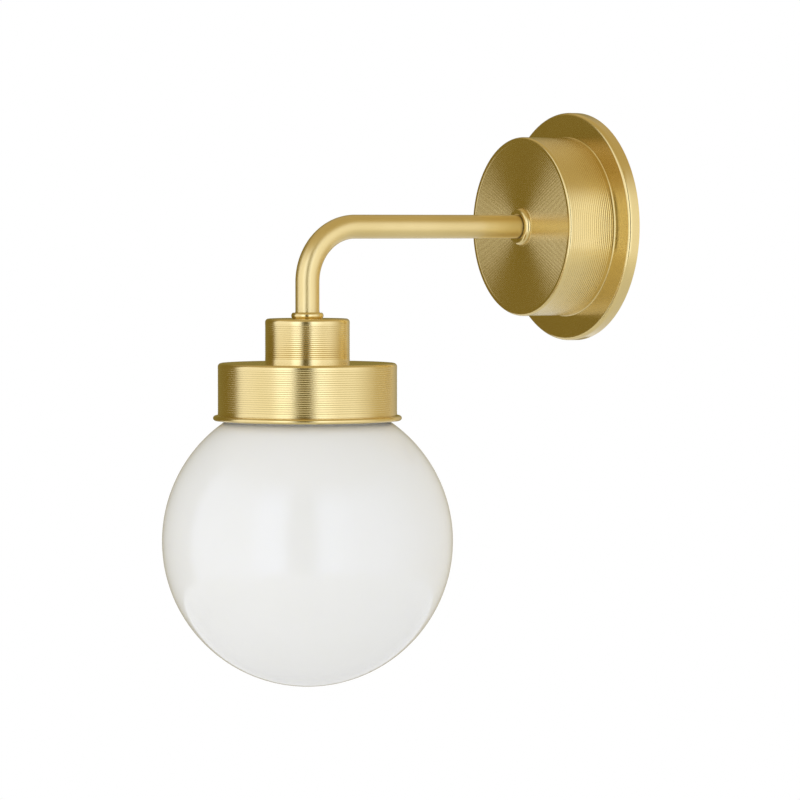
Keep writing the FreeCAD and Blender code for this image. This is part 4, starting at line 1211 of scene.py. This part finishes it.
@dataclass
class Nipples:
    """The two threaded nipples: one from the tube into the canopy and one into the lampholder."""

    radius: float = 5.0
    bore: float = 3.9
    pitch: float = 1.0
    chamfer: float = 0.5
    canopy_span: Pair = (24.5, 47.5)
    holder_span: Pair = (-53.5, -34.1)

    def build(self) -> list[Piece]:
        """Turn both nipples with a fine thread over their length."""
        ends = (("canopy", self.canopy_span, Stand.WALL), ("holder", self.holder_span, Stand.LEG))
        return [self.nipple(end, *span, stand) for end, span, stand in ends]

    def nipple(self, end: str, low: float, high: float, stand: Stand) -> Piece:
        """Turn one nipple between two stations."""
        edge, length = self.radius - self.chamfer, high - low - 2 * self.chamfer
        outline = Outline(self.bore, low).lines((edge, low), (self.radius, low + self.chamfer))
        outline.ribbed((self.radius, high - self.chamfer), round(THREAD_STEPS * length))
        outline.lines((edge, high), (self.bore, high))
        cut = thread(round(length / self.pitch), 0.5 * self.pitch, 0.3)
        piece = turn_piece(end + "_threaded_nipple", outline, stand, PLAIN_BRASS, cut, 64)
        return stand_in(piece, end + "_nipple")


@dataclass
class Lampholder:
    """The lampholder's screw shell, which shows when the bulb is out."""

    rim_radius: float = 8.2
    top: float = -69.5
    length: float = 21.0
    plain: float = 3.0
    rounding: float = 1.6
    crest: float = 14.2
    depth: float = 0.6
    wall: float = 0.35
    pitch: float = 3.6

    def build(self) -> list[Piece]:
        """Roll the shell with its round thread; both skins follow it, counted from the same end."""
        low, high = self.top - self.length, self.top - self.plain
        outer, inner = self.crest, self.crest - self.wall
        shoulder = (outer - self.rounding, self.top - self.rounding)
        outline = Outline(inner, low).lines((outer, low)).ribbed((outer, high), 80)
        outline.corner(outer, self.top, self.rounding, 0, 8)
        outline.lines((self.rim_radius, self.top), (self.rim_radius, self.top - self.wall))
        outline.bend(shoulder, self.rounding - self.wall, 90, 0, 8)
        outline.lines((inner, high)).ribbed((inner, low), 80, span=(1.0, 0.0))
        cut = thread(round((self.length - self.plain) / self.pitch), self.depth)
        shell = turn_piece("threaded_shell", outline, Stand.LEG, SHELL_METAL, cut, 128)
        return [stand_in(shell, "screw_shell")]


@dataclass
class Bulb:
    """The bulb's glass and its rolled cap."""

    top: float = -73.0
    length: float = 107.0
    radius: float = 30.0
    shoulder: float = 28.0
    wall: float = 0.9
    cap_radius: float = 13.15
    cap_top: float = -77.0
    cap_length: float = 20.0
    cap_wall: float = 0.4
    cap_floor: float = 1.0
    cap_edge: float = 2.0
    cap_rounding: float = 0.8
    cap_plain: float = 3.0
    collar_radius: float = 14.0
    collar_height: float = 3.0
    seat: float = 1.5
    seat_step: float = 0.5
    seat_gap: float = 0.1
    waist: float = 4.0
    flank: Pair = (1.2, 0.6)
    pitch: float = 3.6
    thread_depth: float = 0.75

    def build(self) -> list[Piece]:
        """Make the glass and the cap and set them for their CAD nodes."""
        glass = stand_in(self.glass(), "bulb_envelope", "bulb")
        return [glass, stand_in(self.cap(), "bulb_cap", "bulb")]

    def glass(self) -> Piece:
        """Blow the pear shaped glass into its neck."""
        centre = (0.0, self.top - self.length + self.radius)
        low = self.cap_top - self.cap_length - self.collar_height
        neck = self.collar_radius - self.cap_wall - self.seat_gap
        seat, step = low + self.seat, neck - self.seat_step
        tangent, waist = on_circle(centre, self.radius, self.shoulder), (neck, low - self.waist)
        flank = (
            0.5 * (tangent[0] + waist[0]) - self.flank[0],
            0.5 * (tangent[1] + waist[1]) + self.flank[1],
        )
        inner = self.radius - self.wall
        outline = Outline(0.0, centre[1] - self.radius)
        outline.bend(centre, self.radius, -90, self.shoulder, 64).arc(flank, waist, 32)
        outline.lines((neck, low), (step, seat), (step - self.wall, seat), (neck - self.wall, waist[1]))
        flank = on_circle(flank, self.wall, 180 + self.shoulder)
        outline.arc(flank, on_circle(centre, inner, self.shoulder), 32)
        outline.bend(centre, inner, self.shoulder, -90, 48)
        return turn_piece("pear_glass", outline, Stand.LEG, BULB_GLASS, segments=160)

    def cap(self) -> Piece:
        """Roll the thread into the cap and flare it to the collar that holds the glass."""
        high, low = self.cap_top, self.cap_top - self.cap_length
        bore = self.cap_radius - self.thread_depth - self.cap_wall
        collar, edge = low - self.collar_height, self.collar_radius - self.cap_wall
        outline = Outline(0.0, high).lines((self.cap_radius - self.cap_edge, high))
        outline.corner(self.cap_radius, high, self.cap_rounding, 90, 6)
        outline.ribbed((self.cap_radius, low + self.cap_edge), 100)
        outline.lines((self.cap_radius, low), (self.collar_radius, collar), (edge, collar), (bore, low))
        outline.lines((bore, high - self.cap_floor), (0.0, high - self.cap_floor))
        cut = thread(round((self.cap_length - self.cap_plain) / self.pitch), self.thread_depth)
        return turn_piece("rolled_cap", outline, Stand.LEG, BULB_CAP_METAL, cut, 128)


@dataclass
class KeptNodes:
    """The CAD nodes whose shape is right as it is; they only get their finish."""

    def build(self) -> list[Piece]:
        """Dress every slot of the nodes that stay."""
        table = (
            (ZINC_STEEL, ("mounting_bracket", "canopy_nut")),
            (PLAIN_BRASS, ("terminal_barrels", "holder_terminal_posts", "earth_tag")),
            (WHITE_PLASTIC, ("wire_bush", "terminal_block")),
            (HOLDER_PLASTIC, ("holder_dome", "holder_skirt", "shade_ring", "thread_ring")),
            (PORCELAIN, ("holder_insert",)),
            (SHELL_METAL, ("contact_leaf",)),
            (SILICONE, ("globe_seal",)),
            (BULB_INSULATOR, ("bulb_insulator",)),
            (SOLDER, ("bulb_contact",)),
        )
        for finish, nodes in table:
            for node in nodes:
                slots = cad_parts[node].data.materials
                if not slots:
                    slots.append(finish.build())
                for i in range(len(slots)):
                    slots[i] = finish.build()
        return []


# ---------------------------------------------------------------- studio

# the cloths of the tent that stands round the lamp, as light of which 1 is white paper
BRIGHT_CLOTH: Point = (1.70, 1.86, 2.40)
WHITE_CLOTH: Point = (1.22, 1.26, 1.45)
SHADED_CLOTH: Point = (0.68, 0.59, 0.40)
BACK_CLOTH: Point = (0.24, 0.185, 0.045)
CAMERA_GAP: Point = (0.12, 0.10, 0.03)
ROOF_CLOTH: Point = (0.60, 0.50, 0.30)
FLOOR_CLOTH: Point = (0.74, 0.62, 0.36)

# where each cloth hangs, by the turn to the right of the camera in degrees: two lit sides with a gap between them
# that the camera looks in through, and a dim warm back; one cloth fades into the next
TENT: tuple[tuple[float, float, Point], ...] = (
    (-180, -105, BACK_CLOTH),
    (-95, -48, WHITE_CLOTH),
    (-38, -23, BRIGHT_CLOTH),
    (-14, 0, CAMERA_GAP),
    (11, 14, BRIGHT_CLOTH),
    (38, 60, WHITE_CLOTH),
    (100, 140, SHADED_CLOTH),
    (180, 180, BACK_CLOTH),
)


@dataclass
class Studio:
    """The camera at the photograph's angle, the soft lights, the floor and the white room; metres."""

    camera_turn: float = 59.38
    camera_distance: float = 2.27
    focal_pixels: float = 4407.0
    frame_pixels: float = 800.0
    leg_pixel: Pair = (307.4, 226.6)
    sensor_mm: float = 36.0
    room_light: float = 0.76
    lamp_distance: float = 1.7
    lamp_rise: float = -3.0
    lamp_height: float = 2.0
    tent_radius: float = 1.6
    tent_span: Pair = (-1.1, 1.7)
    tent_fades: Pair = (0.4, 0.9)
    tent_steps: int = 120
    floor_height: float = -0.75
    floor_radius: float = 1.9
    floor_fade: Pair = (0.7, 1.8)
    floor_steps: int = 96

    @property
    def middle(self) -> Vector:
        """Give the place that the lamps and the tent stand round, between the leg and the canopy."""
        return LEG_FOOT + Vector((0, 0.08, -0.08))

    def build(self) -> list[Piece]:
        """Set up everything round the lamp."""
        self.camera()
        self.room()
        self.softbox("softbox_left", -57, 2.2, 0.455)
        self.softbox("softbox_right", 31, 1.25, 0.52)
        self.tent()
        self.floor()
        return []

    def toward(self, turn: float, rise: float = 0.0) -> Vector:
        """Give the direction from the lamp at a turn to the right of the camera and a rise, both in degrees."""
        azimuth, lift = math.radians(self.camera_turn + turn), math.radians(rise)
        return Vector((math.sin(azimuth) * math.cos(lift), -math.cos(azimuth) * math.cos(lift), math.sin(lift)))

    def camera(self) -> None:
        """Put the camera at the tube's height, aimed so that the leg falls on its pixel of the photograph."""
        data = bpy.data.cameras.new("view")
        data.sensor_width = self.sensor_mm
        data.lens = self.focal_pixels / self.frame_pixels * self.sensor_mm
        data.clip_start, data.clip_end = 0.05, 50
        data.dof.use_dof = False
        camera = new_piece("view", data)
        out = self.toward(0.0)
        right = Vector((-out.y, out.x, 0.0))
        across, down = ((0.5 * self.frame_pixels - pixel) / self.focal_pixels for pixel in self.leg_pixel)
        camera.location = LEG_FOOT + out * self.camera_distance
        camera.rotation_euler = (-out + right * across - Vector(UP) * down).to_track_quat("-Z", "Y").to_euler()
        bpy.context.scene.camera = camera

    def room(self) -> None:
        """Make a white room for the eye, the metal and the glass, which lights the lamp a little less."""
        world = bpy.data.worlds.new("white_room")
        world.use_nodes = True
        graph = Graph(world.node_tree)
        path = graph.add("LightPath")
        inside = graph.calc("MAXIMUM", path["Is Glossy Ray"], path["Is Transmission Ray"])
        seen = graph.calc("MAXIMUM", path["Is Camera Ray"], inside)
        lit, shown = (graph.add("Background", {"Color": WHITE, "Strength": s})[0] for s in (self.room_light, 1.0))
        graph.add("OutputWorld", {"Surface": graph.add("MixShader", {0: seen, 1: lit, 2: shown})[0]})
        bpy.context.scene.world = world

    def softbox(self, name: str, turn: float, width: float, radiance: float) -> None:
        """Hang one tall soft lamp that faces the object, at a turn to the right of the camera in degrees."""
        data = bpy.data.lights.new(name, "AREA")
        data.shape = "RECTANGLE"
        data.size, data.size_y = width, self.lamp_height
        data.energy = radiance * math.pi * width * self.lamp_height
        light = new_piece(name, data)
        out = self.toward(turn, self.lamp_rise)
        light.location = self.middle + out * self.lamp_distance
        light.rotation_euler = out.to_track_quat("Z", "Y").to_euler()
        light.visible_camera = light.visible_glossy = False

    def glow(self, turn: float) -> tuple[float, ...]:
        """Give the tent's light at a turn to the right of the camera: of one cloth, or between two."""
        before = max((cloth for cloth in TENT if cloth[0] <= turn), key=lambda cloth: cloth[0])
        after = min((cloth for cloth in TENT if cloth[1] >= turn), key=lambda cloth: cloth[1])
        share = (turn - before[1]) / (after[0] - before[1]) if before is not after else 0.0
        return between(before[2], after[2], share)

    def tent(self) -> None:
        """Stand a round tent of cloth that only shows as reflections, its light painted on it as an attribute."""
        count = self.tent_steps
        turns = [360 * i / count - 180 for i in range(count)]
        low, high = self.tent_span
        sides = (low + self.tent_fades[0], high - self.tent_fades[1])
        rows = ((low, FLOOR_CLOTH), (sides[0], None), (sides[1], None), (high, ROOF_CLOTH))
        ring = [self.middle + self.toward(turn) * self.tent_radius for turn in turns]
        corners = [tuple(place + Vector((0, 0, height))) for height, _ in rows for place in ring]
        glows = [plain or self.glow(turn) for _, plain in rows for turn in turns]
        faces = [tuple(range(count)), tuple(range(count * (len(rows) - 1), count * len(rows)))]
        for first in range(0, count * (len(rows) - 1), count):
            for i in range(count):
                here, after = first + i, first + (i + 1) % count
                faces.append((here, after, after + count, here + count))
        mesh = bpy.data.meshes.new("light_tent")
        mesh.from_pydata(corners, [], faces)
        mark(mesh, "glow", glows)
        mesh.materials.append(new_material("tent_cloth_backlit", self.cloth))
        tent = new_piece("light_tent", mesh)
        for ray in ("camera", "diffuse", "transmission", "shadow", "volume_scatter"):
            setattr(tent, "visible_" + ray, False)

    def cloth(self, graph: Graph) -> Socket:
        """Fill in the tent's light, which is its attribute."""
        shine = graph.add("Attribute", attribute_name="glow")["Vector"]
        return graph.add("Emission", {"Color": shine, "Strength": 1.0})[0]

    def floor(self) -> None:
        """Lay a pale round floor far below the lamp."""
        count, centre = self.floor_steps, (0.0, LEG_FOOT.y)
        ring = [on_circle(centre, self.floor_radius, 360 * i / count) for i in range(count)]
        mesh = bpy.data.meshes.new("studio_floor")
        mesh.from_pydata([(x, y, self.floor_height) for x, y in ring], [], [tuple(range(count))])
        mesh.materials.append(new_material("floor_paper_matt", self.paper))
        new_piece("studio_floor", mesh)

    def paper(self, graph: Graph) -> Socket:
        """Keep the soft shadow on paper that fades into the white room; from below, the lamp is seen through it."""
        move = {"Vector": graph.place(), "Location": (0, -LEG_FOOT.y, -self.floor_height)}
        far = graph.add("VectorMath", {0: graph.add("Mapping", move)[0]}, operation="LENGTH")["Value"]
        ends = {"Value": far, "From Min": self.floor_fade[0], "From Max": self.floor_fade[1]}
        fade = graph.add("MapRange", ends, interpolation_type="SMOOTHSTEP")[0]
        paper = graph.add("BsdfDiffuse", {"Color": linear("#F7F7F7")})[0]
        white = graph.add("Emission", {"Color": WHITE, "Strength": 1.0})[0]
        top = graph.add("MixShader", {0: fade, 1: paper, 2: white})[0]
        under = graph.add("NewGeometry")["Backfacing"]
        return graph.add("MixShader", {0: under, 1: top, 2: graph.add("BsdfTransparent")[0]})[0]


def main() -> None:
    """Build the lamp's sub-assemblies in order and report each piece."""
    logging.basicConfig(level=logging.INFO, format="%(name)s: %(message)s")
    bpy.context.scene.view_settings.view_transform = "Standard"
    Studio().build()
    lamp = (KeptNodes(), Canopy(), Fasteners(), Wires(), Nipples(), Arm(), Leg(), Lampholder(), Globe(), Bulb())
    for assembly in lamp:
        for piece in assembly.build():
            triangles = sum(len(p.vertices) - 2 for p in piece.data.polygons)
            LOG.info("%s: %s, %d triangles", type(assembly).__name__, piece.name, triangles)


if __name__ == "__main__":
    main()
